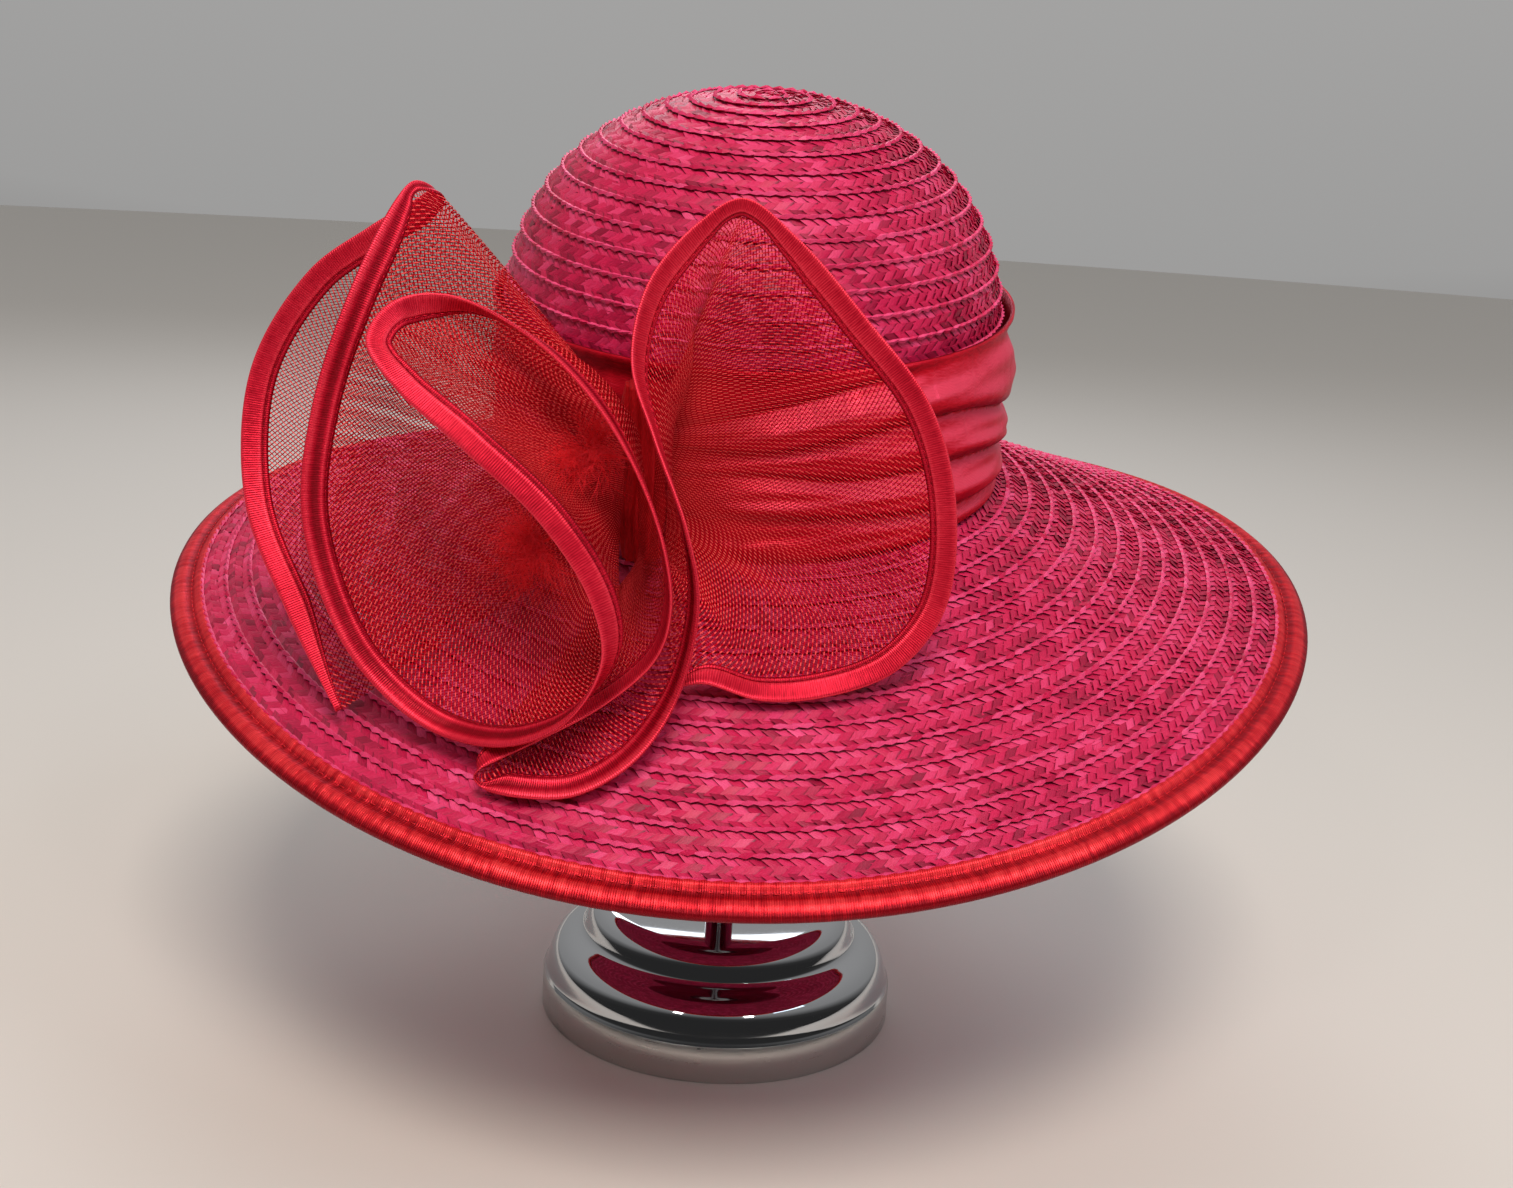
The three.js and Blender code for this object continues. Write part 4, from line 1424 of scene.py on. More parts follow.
@dataclass
class BrimBinding:
    """The satin tape folded round the brim's edge, puckered along its stitching."""

    seat: HatSeat
    shape: BrimShape
    random: np.random.Generator
    sections: int = 1400
    pucker: float = 0.00034
    puckers: Table = ((183, 0.5), (271, 0.45), (347, 0.35))
    calm: float = 0.4
    calm_waves: Pair = (3, 1.1)
    groove_width: float = 3.0
    under_pucker: float = 0.15
    length_marks: float = 1330.0
    stitch_line: float = 7.2
    stitch_count: int = 400
    stitch_lifts: Table = ((0.66, 1), (-3.5, -1))
    flat: Pair = (0.024, 1.335)
    profile: Table = (
        # millimetres: inward from the straw's edge, raised above the brim's face
        (11.0, -0.2), (11.35, 0.5), (11.2, 1.15), (10.6, 1.5), (9.8, 1.55), (9.1, 1.35),
        (8.4, 0.85), (7.6, 0.6), (6.7, 0.55), (5.9, 0.7), (5.1, 1.1), (4.1, 1.5),
        (2.9, 1.6), (1.7, 1.4), (0.7, 1.0), (0.0, 0.75), (-0.7, 0.45), (-1.2, -0.1),
        (-1.4, -0.9), (-1.25, -1.8), (-0.8, -2.6), (0.3, -3.1), (2.5, -3.4), (5.5, -3.45),
        (7.6, -3.35), (8.5, -3.15), (8.7, -2.6), (8.4, -1.95), (3.0, -1.75), (0.2, -1.4),
        (0.2, -0.3), (3.0, -0.1), (8.0, -0.1),
    )

    def build(self, material: Material) -> None:
        """Lofts the tape round the brim, with small puckers that come and go."""
        turn = circle(self.sections)
        slope = self.shape.slope(turn)
        wave = np.zeros_like(turn)
        for count, share in self.puckers:
            wave += share * np.sin(count * turn + self.random.random() * TAU)
        waves, shift = self.calm_waves
        calm = 1 - self.calm + self.calm * np.sin(waves * turn + shift)
        overhang = min(inward for inward, _ in self.profile)
        outline, across = [], []
        for inward, raised in self.profile:
            away = (inward - self.stitch_line) / self.groove_width
            near = math.exp(-(away**2)) if raised > 0 else self.under_pucker
            lift = raised * MM + self.pucker * near * wave * calm
            outline.append(self.shape.raised(turn, 1 - inward * MM / slope, lift))
            across.append(inward - overhang)
        rings = self.seat.place(np.stack(outline, axis=1))
        uv = uv_grid((turn / TAU * self.length_marks)[:, None], np.array(across)[None, :])
        made = ring_loft(rings, uv).build("brim_binding_satin")
        dress(made, ("brim_binding",), material)
        seam = self.stitches(material)

    def stitches(self, material: Material) -> Piece:
        """Lays a line of short stitches in the tape's groove, above and below."""
        guides = Guides()
        turn = circle(self.stitch_count) + TAU / self.stitch_count / 2
        u = 1 - self.stitch_line * MM / self.shape.slope(turn)
        for height, side in self.stitch_lifts:
            lift = np.full_like(turn, height * MM)
            here = self.shape.raised(turn, u, lift)
            ahead = self.shape.raised(turn + STITCH_AHEAD, u, lift)
            out = self.shape.normal(turn, u) * side
            points = self.seat.place(here)
            along = self.seat.place(ahead) - points
            guides.add(points, along, self.seat.direct(out), STITCH_SIZE, STITCH_TONE)
        made = Scatter("brim_binding_stitches", turn_spread=math.radians(6)).grow(guides, stitch(), material)
        dress(made, ())
        return made


STITCH_AHEAD = 0.002
STITCH_SIZE = (1.0, 1.0, 1.0)
STITCH_TONE = 0.5
STITCH_SIDES = 5
STITCH_MARK = 3.6


def stitch(length: float = 0.0021, thick: float = 0.00034) -> Piece:
    """Makes one stitch: a short thread that dips into the cloth at both ends.

    Args:
        length: From hole to hole.
        thick: The thread's diameter.

    Returns:
        A closed body along x.
    """
    turn = circle(STITCH_SIDES)
    rings = []
    for x, z, size in ((-0.5, -0.9, 0.7), (-0.3, 0.35, 1.0), (0.3, 0.35, 1.0), (0.5, -0.9, 0.7)):
        across, up = np.cos(turn) * size, np.sin(turn) * size + z
        ring = np.stack([np.full_like(turn, x * length), across, up], axis=1)
        rings.append(ring * np.array([1, thick / 2, thick / 2]))
    uv = np.full((len(rings), STITCH_SIDES, 2), STITCH_MARK)
    return tube_loft(np.stack(rings), uv).build("stitch")


@dataclass
class HatBand:
    """The satin band: soft pleats that climb and fall round the crown's foot, and a flared upper lip."""

    seat: HatSeat
    shape: CrownShape
    sections: int = 420
    rows: int = 84
    foot: float = 0.0016
    lip: float = 0.066
    inner_gap: float = 0.00085
    lip_wall: float = 0.0013
    lip_height: float = 0.009
    flare: float = 0.0056
    flare_height: float = 0.007
    below_foot: float = 2.0
    past_lip: float = 1.5
    floor: float = 0.0019
    crest: float = 0.007
    droop: float = 0.62
    fullness: float = 0.8
    creases: Table = (
        # part of the pleat's depth, turns up it, waves round the crown, and the shift from pleat to pleat
        (0.10, 9.5, 5, 1),
        (0.05, 17, -9, 2),
    )
    length_marks: float = 600.0
    # painted light on the pleats: the slope that counts as steep, how much slope and stand-out lighten or
    # darken, and the painted shade inside
    steep: float = 0.7
    painted_slope_light: float = 0.55
    painted_crest_light: float = 0.5
    even_share: float = 0.6
    painted_inside_shade: float = -0.6
    flat: Pair = (0.62, 0.078)
    degrees: tuple[float, ...] = (-180, -150, -125, -105, -88, -70, -52, -36, -18, 0, 30, 70, 110, 150)
    tucks: Table = (
        # millimetres up the crown where each tuck between two pleats runs, at each of the angles above
        (11, 12, 13, 15, 15, 15, 12, 9, 7, 6, 9, 13, 11, 13),
        (25, 27, 27, 28, 31, 28, 27, 26, 21, 16, 22, 29, 28, 27),
        (38, 38, 37, 38, 38, 42, 45, 43, 36, 29, 37, 44, 42, 41),
        (51, 51, 47, 45, 52, 59, 65, 66, 65, 57, 56, 57, 55, 53),
    )
    proud: Table = (
        # millimetres that each pleat stands out, from the lowest up, at the same angles
        (3.0, 2.6, 2.4, 2.2, 2.8, 3.2, 3.0, 2.4, 2.4, 2.2, 2.6, 3.0, 3.4, 3.0),
        (3.8, 3.4, 3.0, 2.6, 4.2, 4.6, 4.6, 4.6, 4.4, 3.6, 4.0, 4.0, 3.4, 4.2),
        (2.8, 3.2, 2.8, 2.4, 2.6, 2.8, 3.2, 4.4, 4.8, 4.8, 4.0, 3.0, 3.4, 2.8),
        (3.8, 3.2, 2.6, 2.2, 4.4, 4.8, 4.8, 5.2, 5.4, 5.4, 4.8, 4.2, 3.6, 4.0),
        (2.4, 2.2, 2.0, 2.0, 2.2, 2.4, 2.0, 1.6, 1.8, 2.0, 2.2, 2.2, 2.4, 2.2),
    )

    def around(self, values: tuple[float, ...], turn: np.ndarray) -> np.ndarray:
        """Runs a smooth closed curve through values at the stated angles, in millimetres."""
        count = len(self.degrees)
        places = np.radians([*self.degrees, self.degrees[0] + 360])
        here = (turn - places[0]) % TAU + places[0]
        i = np.clip(np.searchsorted(places, here, side="right") - 1, 0, count - 1)
        share = (here - places[i]) / (places[i + 1] - places[i])
        table = np.array(values, float)
        before, first, second, after = (table[(i + k) % count] for k in (-1, 0, 1, 2))
        slope, later = (second - before) / 2, (after - first) / 2
        bend = 3 * (second - first) - 2 * slope - later
        return first + share * (slope + share * (bend + share * (2 * (first - second) + slope + later)))

    def stand_out(self, turn: np.ndarray, height: np.ndarray) -> np.ndarray:
        """Returns how far the cloth stands outside the straw.

        Args:
            turn: Angle round the crown, a column.
            height: Height up it, a row.

        Returns:
            The offsets in metres.
        """
        z = height / MM
        lines = [np.full_like(turn, self.foot / MM - self.below_foot)]
        lines += [self.around(values, turn) for values in self.tucks]
        lines.append(np.full_like(turn, self.lip / MM + self.past_lip))
        out = np.zeros(np.broadcast(turn, height).shape)
        for i, values in enumerate(self.proud):
            low, high = lines[i], lines[i + 1]
            w = np.clip((z - low) / (high - low), 0, 1)
            belly = np.sin(math.pi * w**self.droop) ** self.fullness
            crease = 0.0
            for part, up, waves, shift in self.creases:
                crease = crease + part * np.sin(w * up + waves * turn + shift * i)
            rise = self.around(values, turn) * (belly + crease * np.sin(math.pi * w))
            out = np.where((z >= low) & (z < high), rise, out)
        out = self.floor + out * MM
        flared = smooth_step(self.lip - self.flare_height, self.lip, height)
        return out * (1 - flared) + flared * self.flare

    def build(self, material: Material) -> None:
        """Lofts the band as closed outlines, one for each angle round the crown."""
        turn = circle(self.sections)[:, None]
        height = np.linspace(self.foot, self.lip, self.rows)[None, :]
        out = self.stand_out(turn, height)
        outer = self.shape.beside(turn, height, out)
        inside = np.array(
            [
                # height up the crown, distance outside the straw
                (self.lip, self.flare - self.lip_wall),
                (self.lip - 0.004, 0.0034),
                (self.lip - self.lip_height, self.inner_gap),
                (0.03, self.inner_gap),
                (self.foot, self.inner_gap),
            ]
        )
        inner = self.shape.beside(turn, inside[None, :, 0], inside[None, :, 1])
        rings = self.seat.place(np.concatenate([outer, inner], axis=1))
        run = np.linalg.norm(np.diff(rings, axis=1, prepend=rings[:, :1]), axis=-1)
        uv = uv_grid(np.cumsum(run, axis=1) / MM, turn / TAU * self.length_marks)
        made = ring_loft(rings, uv).build("hat_band_satin")
        # painted light and shade: pleat faces that turn up are lighter and those that turn down darker, and
        # the crests that stand out most are lighter
        upward = -np.gradient(out, axis=1) / np.gradient(height, axis=1)
        tone = self.painted_slope_light * np.clip(upward / self.steep, -1, 1)
        tone = tone + self.painted_crest_light * (out / self.crest - self.even_share)
        # painted shade on the band's hidden inside
        hidden = np.full((self.sections, len(inside)), self.painted_inside_shade)
        shell_tone(made, np.concatenate([tone, hidden], axis=1).ravel())
        dress(made, ("hat_band",), material)


COLUMNS = ("x", "y", "z", "at", "up", "swell", "roll")
STRIP = (
    # A row for each section of the strip, in millimetres in the hat's frame: where its bound edge runs,
    # where its root meets the gather (at: degrees round it, up: height), how far the net swells, and how
    # many degrees the tape is rolled out of the net's plane
    # Tall petal
    (-125, -147, -36, 168, 9, -3, 0),
    (-142, -134, -8, 168, 15, -5, 0),
    (-157, -118, 22, 168, 25, -7, 0),
    (-156, -104, 61, 169, 34, -7, 0),
    (-137, -99, 92, 170, 43, -5, 0),
    (-118, -96, 106, 171, 48, -3, 0),
    (-99.5, -96, 118.5, 174, 53, -1, 0),
    (-103, -101, 121.5, 184, 55, 0, 0),
    (-107, -107, 118, 194, 53, 1, 0),
    (-119, -121, 94, 198, 46, 3, 0),
    (-130, -133, 60, 200, 36, 4, 0),
    # Cup
    (-133, -142, 27, 200, 28, 4, 0),
    (-122, -150, -8, 201, 22, 5, 0),
    (-108, -154, -26, 203, 18, 4, 0),
    (-90, -163, -33.5, 206, 16, 3, 0),
    (-66, -176, -29, 209, 14, 2, 0),
    (-49, -179, -18, 213, 13, 1, 10),
    (-39.5, -176, 0, 218, 15, 0, 35),
    (-43, -173, 18, 224, 20, -3, 60),
    # Funnel
    (-58, -170, 41, 228, 26, -6, 70),
    (-81, -165, 61, 231, 34, -9, 70),
    (-101, -154, 74, 234, 41, -8, 52),
    (-111, -142, 84, 237, 47, -5, 22),
    (-105, -128, 92, 241, 51, -2, 4),
    (-90, -123, 93, 245, 52, -3, 0),
    (-67, -126, 83, 250, 49, -5, 0),
    (-49, -133, 69, 255, 43, -5, 0),
    # Lower fold
    (-33, -147, 51, 260, 35, -2, 0),
    (-23, -157, 30, 263, 25, 0, 0),
    (-20, -162, 11, 265, 17, 1, 0),
    (-24, -164, -4, 267, 11, 0, 0),
    (-39.5, -165, -20, 269, 8, -1, 0),
    (-59, -169, -31, 272, 6, -1, 0),
    (-70, -173, -35.5, 275, 5, 0, 0),
    (-76, -175.5, -38, 277, 4.5, 0, 0),
    (-77.5, -176, -40.5, 279, 4, 0, 0),
    (-75, -176.5, -43.5, 281, 3, 0, 0),
    (-66, -180, -44, 284, 2.5, 0, 0),
    (-47, -181, -42.5, 287, 3, 0, 0),
    (-30, -175, -34, 289, 5, -1, 0),
    (-18, -166, -18, 291, 9, -3, 0),
    (-12, -160, 11, 294, 17, -3, 0),
    # Right loop
    (-16, -157, 34, 297, 27, 0, 0),
    (-27, -146, 59, 300, 38, 5, 0),
    (-35, -132, 78, 304, 47, 9, 0),
    (-31, -120, 99, 309, 54, 10, 0),
    (-17, -110, 115, 316, 58, 6, 0),
    (-4, -107, 122, 323, 59, 3, 0),
    (13, -109, 111, 330, 57, 2, 0),
    (35, -116, 89, 335, 51, 3, 0),
    (55, -124, 66, 338, 43, 4, 0),
    (65, -129, 36, 340, 33, 5, 0),
    (64, -134, 2, 340, 23, 6, 0),
    (50, -141, -16, 338, 15, 6, 0),
    (29, -147, -23, 335, 9, 5, 0),
    (8, -150, -24, 331, 5, 4, 0),
    (-10, -150, -19, 327, 3, 3, 0),
    (-20, -150, -21, 324, 2, 2, 0),
)
NET_NODES = (
    "net_tall_petal_rear",
    "net_tall_petal_front",
    "net_cup",
    "net_funnel",
    "net_lower_fold",
    "net_right_loop",
)
EDGE_NODES = tuple(name.replace("net_", "edge_") for name in NET_NODES)


def smooth_curve(points: np.ndarray, t: np.ndarray) -> np.ndarray:
    """Follows a centripetal Catmull-Rom curve through points.

    Args:
        points: Rows of points.
        t: Places along it, as row numbers with fractions.

    Returns:
        The curve's points.
    """
    last = len(points) - 1
    padded = np.concatenate([[2 * points[0] - points[1]], points, [2 * points[-1] - points[-2]]])
    i = np.clip(np.floor(t).astype(int), 0, last - 1)
    w = (t - i)[:, None]
    p0, p1, p2, p3 = (padded[i + k] for k in range(4))

    def gap(a: np.ndarray, b: np.ndarray) -> np.ndarray:
        """The square root of the distance between two points."""
        return np.maximum(np.linalg.norm(a - b, axis=1, keepdims=True) ** 0.5, 1e-6)

    d0, d1, d2 = gap(p0, p1), gap(p1, p2), gap(p2, p3)
    first = (p1 - p0) / d0 - (p2 - p0) / (d0 + d1) + (p2 - p1) / d1
    second = (p2 - p1) / d1 - (p3 - p1) / (d1 + d2) + (p3 - p2) / d2
    first, second = first * d1, second * d1
    c2 = -3 * p1 + 3 * p2 - 2 * first - second
    c3 = 2 * p1 - 2 * p2 + first + second
    return p1 + first * w + c2 * w**2 + c3 * w**3


@dataclass
class TrimStrip:
    """The bias strip of net and its bound edge, looped back and forth and gathered at one place."""

    seat: HatSeat
    gather: Pair = (-33.0, -101.0)
    gather_size: Pair = (8.75, 7.95)
    edge_width: float = 8.4
    tip_share: float = 0.7
    cuts: int = 22
    across: int = 26
    ripple: float = 0.5
    ripples: Table = (
        # size, length in millimetres, shift
        (1.0, 9.5, 0.0),
        (0.6, 5.3, 1.0),
    )
    net_hem: float = 0.45
    calm_reach: float = 0.9
    ease_reach: float = 0.4
    thinnest: float = 0.35
    thin_below: Pair = (0.3, 0.8)
    stitch_pitch: float = 2.9
    stitch_margin: float = 2.0
    stitch_least: float = 0.75
    seams: Table = (
        # side of the tape, share of its width inward, rise off the cloth in millimetres
        (1, 0.81, 0.38),
        (-1, 0.9, 0.40),
    )
    ends: Pair = (1.1, 1.4)
    end_width: float = 0.3
    flat: Pair = (0.110, 1.33)
    flat_area: float = 0.055
    most_packed: float = 3.0
    tape_profile: Table = (
        # share of the tape's width inward from its outer fold, then each face's height off the cloth in mm
        (0.0, 0.0, 0.0),
        (0.012, 0.28, 0.28),
        (0.05, 0.48, 0.52),
        (0.11, 0.58, 0.68),
        (0.2, 0.60, 0.70),
        (0.3, 0.58, 0.56),
        (0.4, 0.57, 0.38),
        (0.5, 0.57, 0.33),
        (0.6, 0.60, 0.42),
        (0.68, 0.62, 0.58),
        (0.74, 0.52, 0.66),
        (0.79, 0.33, 0.64),
        (0.84, 0.36, 0.50),
        (0.9, 0.52, 0.38),
        (0.96, 0.42, 0.34),
        (1.0, 0.1, 0.1),
    )

    def __post_init__(self) -> None:
        """Works out the strip's frames once."""
        table = np.array(STRIP, float)
        column = {name: table[:, i] for i, name in enumerate(COLUMNS)}
        turn = np.radians(column["at"])
        x = self.gather[0] + self.gather_size[0] * np.cos(turn)
        y = self.gather[1] + self.gather_size[1] * np.sin(turn)
        self._edge = table[:, :3]
        self._root = np.stack([x, y, column["up"]], axis=1)
        self._swell = column["swell"][:, None]
        self._roll = np.radians(column["roll"])[:, None]
        self.last = len(table) - 1
        s = np.linspace(0, self.last, self.last * self.cuts + 1)
        self._frames(s)

    def _frames(self, s: np.ndarray) -> None:
        """Works out, for each section, the edge, the root, and the directions in and out of the cloth."""
        step = 0.1
        self.edge = smooth_curve(self._edge, s)
        self.root = smooth_curve(self._root, s)
        self.swell = smooth_curve(self._swell, s)
        before = self.edge - smooth_curve(self._edge, np.maximum(s - step, 0))
        after = smooth_curve(self._edge, np.minimum(s + step, self.last)) - self.edge
        self.along = unit(before + after)
        to_root = self.root - self.edge
        reach = np.linalg.norm(to_root, axis=1, keepdims=True)
        inward = unit(to_root - self.along * (to_root * self.along).sum(1, keepdims=True))
        out = -np.cross(self.along, inward)
        inward = unit(inward + out * 2 * self.swell / reach)
        roll = smooth_curve(self._roll, s)
        inward = inward * np.cos(roll) - np.cross(self.along, inward) * np.sin(roll)
        run = np.linalg.norm(before, axis=1) + np.linalg.norm(after, axis=1)
        bend = ((unit(after) - unit(before)) * inward).sum(1) / np.maximum(run / 2, TINY)
        room = np.minimum(self.edge_width, self.tip_share / np.maximum(bend, TINY))
        window = int(self.calm_reach * self.cuts)
        padded = np.pad(room, window, mode="edge")
        least = np.array([padded[i : i + 2 * window + 1].min() for i in range(len(room))])
        soft = int(self.ease_reach * self.cuts)
        eased = np.convolve(np.pad(least, soft, mode="edge"), np.ones(2 * soft + 1) / (2 * soft + 1), "valid")
        first, last = self.ends
        taper = smooth_step(0, first, s) * smooth_step(0, last, self.last - s)
        self.width = (eased * (self.end_width + (1 - self.end_width) * taper))[:, None]
        full = smooth_step(*self.thin_below, self.width / self.edge_width)
        self.thickness = self.thinnest + (1 - self.thinnest) * full
        self.inward = inward
        self.out = -np.cross(self.along, inward)
        self.travel = np.concatenate([[0], np.cumsum(np.linalg.norm(np.diff(self.edge, axis=0), axis=1))])

    def build(self, net: Material, satin: Material) -> None:
        """Builds the net, its bound edge and the stitching.

        Args:
            net: The net's finish.
            satin: The tape's finish.
        """
        sheet = self.net(net)
        self.tape(satin)
        self.stitches(satin)

    def net(self, material: Material) -> Piece:
        """Builds the net as one sheet, from the gather to well inside the bound edge."""
        v = np.linspace(0, 1, self.across)[None, :, None]
        inner = self.edge + self.inward * self.width
        reach = inner - self.root
        out = unit(np.cross(self.along, reach))
        wave = sum(size * np.sin(self.travel / length + shift) for size, length, shift in self.ripples)
        sheet = self.root[:, None] + reach[:, None] * v
        bulge = self.swell[:, None] * 4 * v * (1 - v)
        bulge = bulge + self.ripple * wave[:, None, None] * np.sin(math.pi * v) * (1 - v)
        sheet = sheet + out[:, None] * bulge
        hidden = self.edge + self.inward * self.width * self.net_hem
        points = np.concatenate([sheet, hidden[:, None]], axis=1)
        rows, columns, _ = points.shape
        run = np.linalg.norm(np.diff(points, axis=1, prepend=points[:, :1]), axis=-1)
        depth = np.cumsum(run, axis=1)
        uv = uv_grid(self.travel[:, None], depth[:, -1:] - depth)
        world = self.seat.place(points.reshape(-1, 3) * MM)
        made = Shell(world, grid_faces(rows, columns).tolist(), uv).build("net_strip")
        spacing = np.linalg.norm(np.gradient(points, axis=0), axis=-1)
        shell_tone(made, np.clip(spacing[:, -1:] / np.maximum(spacing, 1e-6), 1, self.most_packed).ravel())
        dress(made, NET_NODES, material)
        return made

    def tape(self, material: Material) -> Piece:
        """Builds the bound edge: a tape folded over the net's edge, with a stitched inner hem."""
        outline = [(share, front, share) for share, front, _ in self.tape_profile]
        outline += [(share, -back, 2 - share) for share, _, back in reversed(self.tape_profile[1:-1])]
        rings, across = [], []
        for share, side, place in outline:
            rings.append(self.edge + self.inward * self.width * share + self.out * side * self.thickness)
            across.append(place * self.edge_width)
        world = self.seat.place(np.stack(rings, axis=1) * MM)
        uv = uv_grid(self.travel[:, None], np.array(across)[None, :])
        made = tube_loft(world, uv).build("strip_edge_satin")
        dress(made, EDGE_NODES, material)
        return made

    def stitches(self, material: Material) -> Piece:
        """Lays a line of stitches along the tape's inner hem, on both sides."""
        guides = Guides()
        spots = np.arange(self.stitch_margin, self.travel[-1] - self.stitch_margin, self.stitch_pitch)
        i = np.searchsorted(self.travel, spots)
        i = i[self.width[i, 0] > self.stitch_least * self.edge_width]
        for side, share, rise in self.seams:
            here = self.edge[i] + self.inward[i] * self.width[i] * share + self.out[i] * rise * side
            points = self.seat.place(here * MM)
            along = self.seat.direct(self.along[i])
            out = self.seat.direct(self.out[i] * side)
            guides.add(points, along, out, STITCH_SIZE, STITCH_TONE)
        made = Scatter("strip_edge_stitches").grow(guides, stitch(), material)
        dress(made, ())
        return made


@dataclass
class Gather:
    """The bunched root of the strip, where it is stitched to the band."""

    seat: HatSeat
    crown: CrownShape
    centre: Pair = (-33.0, -101.0)
    size: Pair = (7.7, 6.9)
    low: float = 1.5
    high: float = 61.0
    pleats: int = 11
    depth: float = 0.16
    twist: Triple = (1.6, 5.0, 1.0)
    lump: float = 0.05
    lump_waves: Pair = (17, 3)
    end_margin: float = 0.02
    least: float = 0.74
    bulge: float = 0.4
    around: int = 132
    rows: int = 60
    band_crest: float = 6.4
    length_marks: float = 8.0

    def build(self, material: Material) -> None:
        """Lofts a fluted lump that backs onto the band."""
        share = np.linspace(0, 1, self.rows)[:, None]
        turn = circle(self.around)[None, :]
        belly = np.sin(math.pi * np.clip(share, self.end_margin, 1 - self.end_margin)) ** self.bulge
        full = self.least + (1 - self.least) * belly
        amount, waves, shift = self.twist
        pleats = np.cos(self.pleats * turn + amount * np.sin(waves * share + shift))
        rise, sway = self.lump_waves
        flute = 1 - self.depth * (0.5 - 0.5 * pleats) - self.lump * np.sin(rise * share + sway * turn)
        x = self.centre[0] + self.size[0] * full * flute * np.cos(turn)
        y = self.centre[1] + self.size[1] * full * flute * np.sin(turn)
        z = np.broadcast_to(self.low + (self.high - self.low) * share, x.shape)
        wide = self.crown.half_width / MM + self.band_crest
        deep = self.crown.half_depth / MM + self.band_crest
        wall = -deep * np.sqrt(1 - (x / wide) ** 2)
        y = np.minimum(y, wall)
        world = self.seat.place(np.stack([x, y, z], axis=-1) * MM)
        made = tube_loft(world, uv_grid(turn * self.length_marks, z)).build("gather_net")
        dress(made, ("gather",), material)


@dataclass
class FeatherTuft:
    """A fluffy tuft: curved quills that fan out of a stem, each with many fine barbs."""

    seat: HatSeat
    random: np.random.Generator
    name: str
    head: Triple
    stem: Triple
    reach: float
    quills: int = 90
    barbs: int = 40
    outward_pull: float = 0.75
    side_pull: float = 0.95
    flatness: Triple = (1.0, 0.8, 1.0)
    shortest: float = 0.45
    longest: float = 0.95
    sag: float = 0.25
    curl: float = 0.25
    rooted: float = 4.0
    barb_lean: float = 0.9
    barb_size: float = 0.85
    barb_least: float = 0.2
    barb_swell: float = 0.75
    barb_span: Pair = (0.12, 0.8)
    barb_uneven: Pair = (0.55, 1.0)
    barb_length: float = 0.01
    barb_thick: float = 0.010
    barb_droop: float = 0.16
    stem_radius: float = 0.5
    stem_points: int = 8
    stem_tone: float = 0.4
    stem_sides: int = 8
    aside: Triple = (0.3, 0.5, 0.8)
    root_tone: float = 0.25
    tone_rise: float = 0.6

    def barb(self) -> Piece:
        """Makes one barb: a thin curved hair along x that tapers to a point."""
        rings = []
        turn = circle(3)
        for x, share in ((0.0, 1.0), (0.35, 0.85), (0.7, 0.55), (1.0, 0.12)):
            thick = self.barb_thick * share
            up = np.sin(turn) * thick - self.barb_droop * x * x
            rings.append(np.stack([np.full_like(turn, x), np.cos(turn) * thick, up], axis=1))
        points = np.stack(rings) * self.barb_length
        return tube_loft(points, np.zeros((*points.shape[:2], 2))).build("barb")

    def build(self, material: Material) -> None:
        """Grows the barbs along the quills."""
        head, stem = np.array(self.head), np.array(self.stem)
        outward = unit(head - stem)
        guides = Guides()
        line = np.linspace(0, 1, self.barbs)
        first, span = self.barb_span
        tone = self.root_tone + self.tone_rise * line
        for _ in range(self.quills):
            spread = unit(self.random.normal(0, 1, 3) * np.array(self.flatness))
            way = unit(outward * self.outward_pull + spread * self.side_pull)
            length = self.reach * self.random.uniform(self.shortest, self.longest)
            sag = np.array([0, 0, -self.sag]) * length
            curl = np.cross(way, unit(self.random.normal(0, 1, 3))) * length * self.curl
            root = head - outward * self.rooted
            track = root + np.outer(line * length, way) + np.outer(line**2, sag + curl)
            tangent = unit(np.gradient(track, axis=0))
            sideways = unit(np.cross(tangent, self.random.normal(0, 1, (self.barbs, 3))))
            lean = unit(sideways + tangent * self.barb_lean)
            size = self.barb_swell * np.sin(math.pi * (first + span * line)) + self.barb_least
            size = size * self.random.uniform(*self.barb_uneven, self.barbs) * self.barb_size
            out = self.seat.direct(np.cross(lean, tangent))
            scale = np.repeat(size[:, None], 3, axis=1)
            guides.add(self.seat.place(track * MM), self.seat.direct(lean), out, scale, tone)
        track = stem + np.outer(np.linspace(0, 1, self.stem_points), head - stem)
        scatter = Scatter(f"feather_{self.name}", least_size=0.8, most_size=1.2, tone_spread=0.2)
        scatter.turn_spread = math.radians(16)
        made = scatter.grow(guides, self.barb(), material, self.quill(track, material))
        dress(made, (f"feather_tuft_{self.name}",))

    def quill(self, track: np.ndarray, material: Material) -> Piece:
        """Builds the tuft's short stem."""
        turn = circle(self.stem_sides)
        along = unit(track[-1] - track[0])
        side = unit(np.cross(along, self.aside))
        other = np.cross(along, side)
        ring = (np.outer(np.cos(turn), side) + np.outer(np.sin(turn), other)) * self.stem_radius
        rings = self.seat.place((track[:, None] + ring[None]) * MM)
        made = tube_loft(rings, np.zeros((*rings.shape[:2], 2))).build("tuft_stem")
        made.data.materials.append(material)
        return shell_tone(made, self.stem_tone)


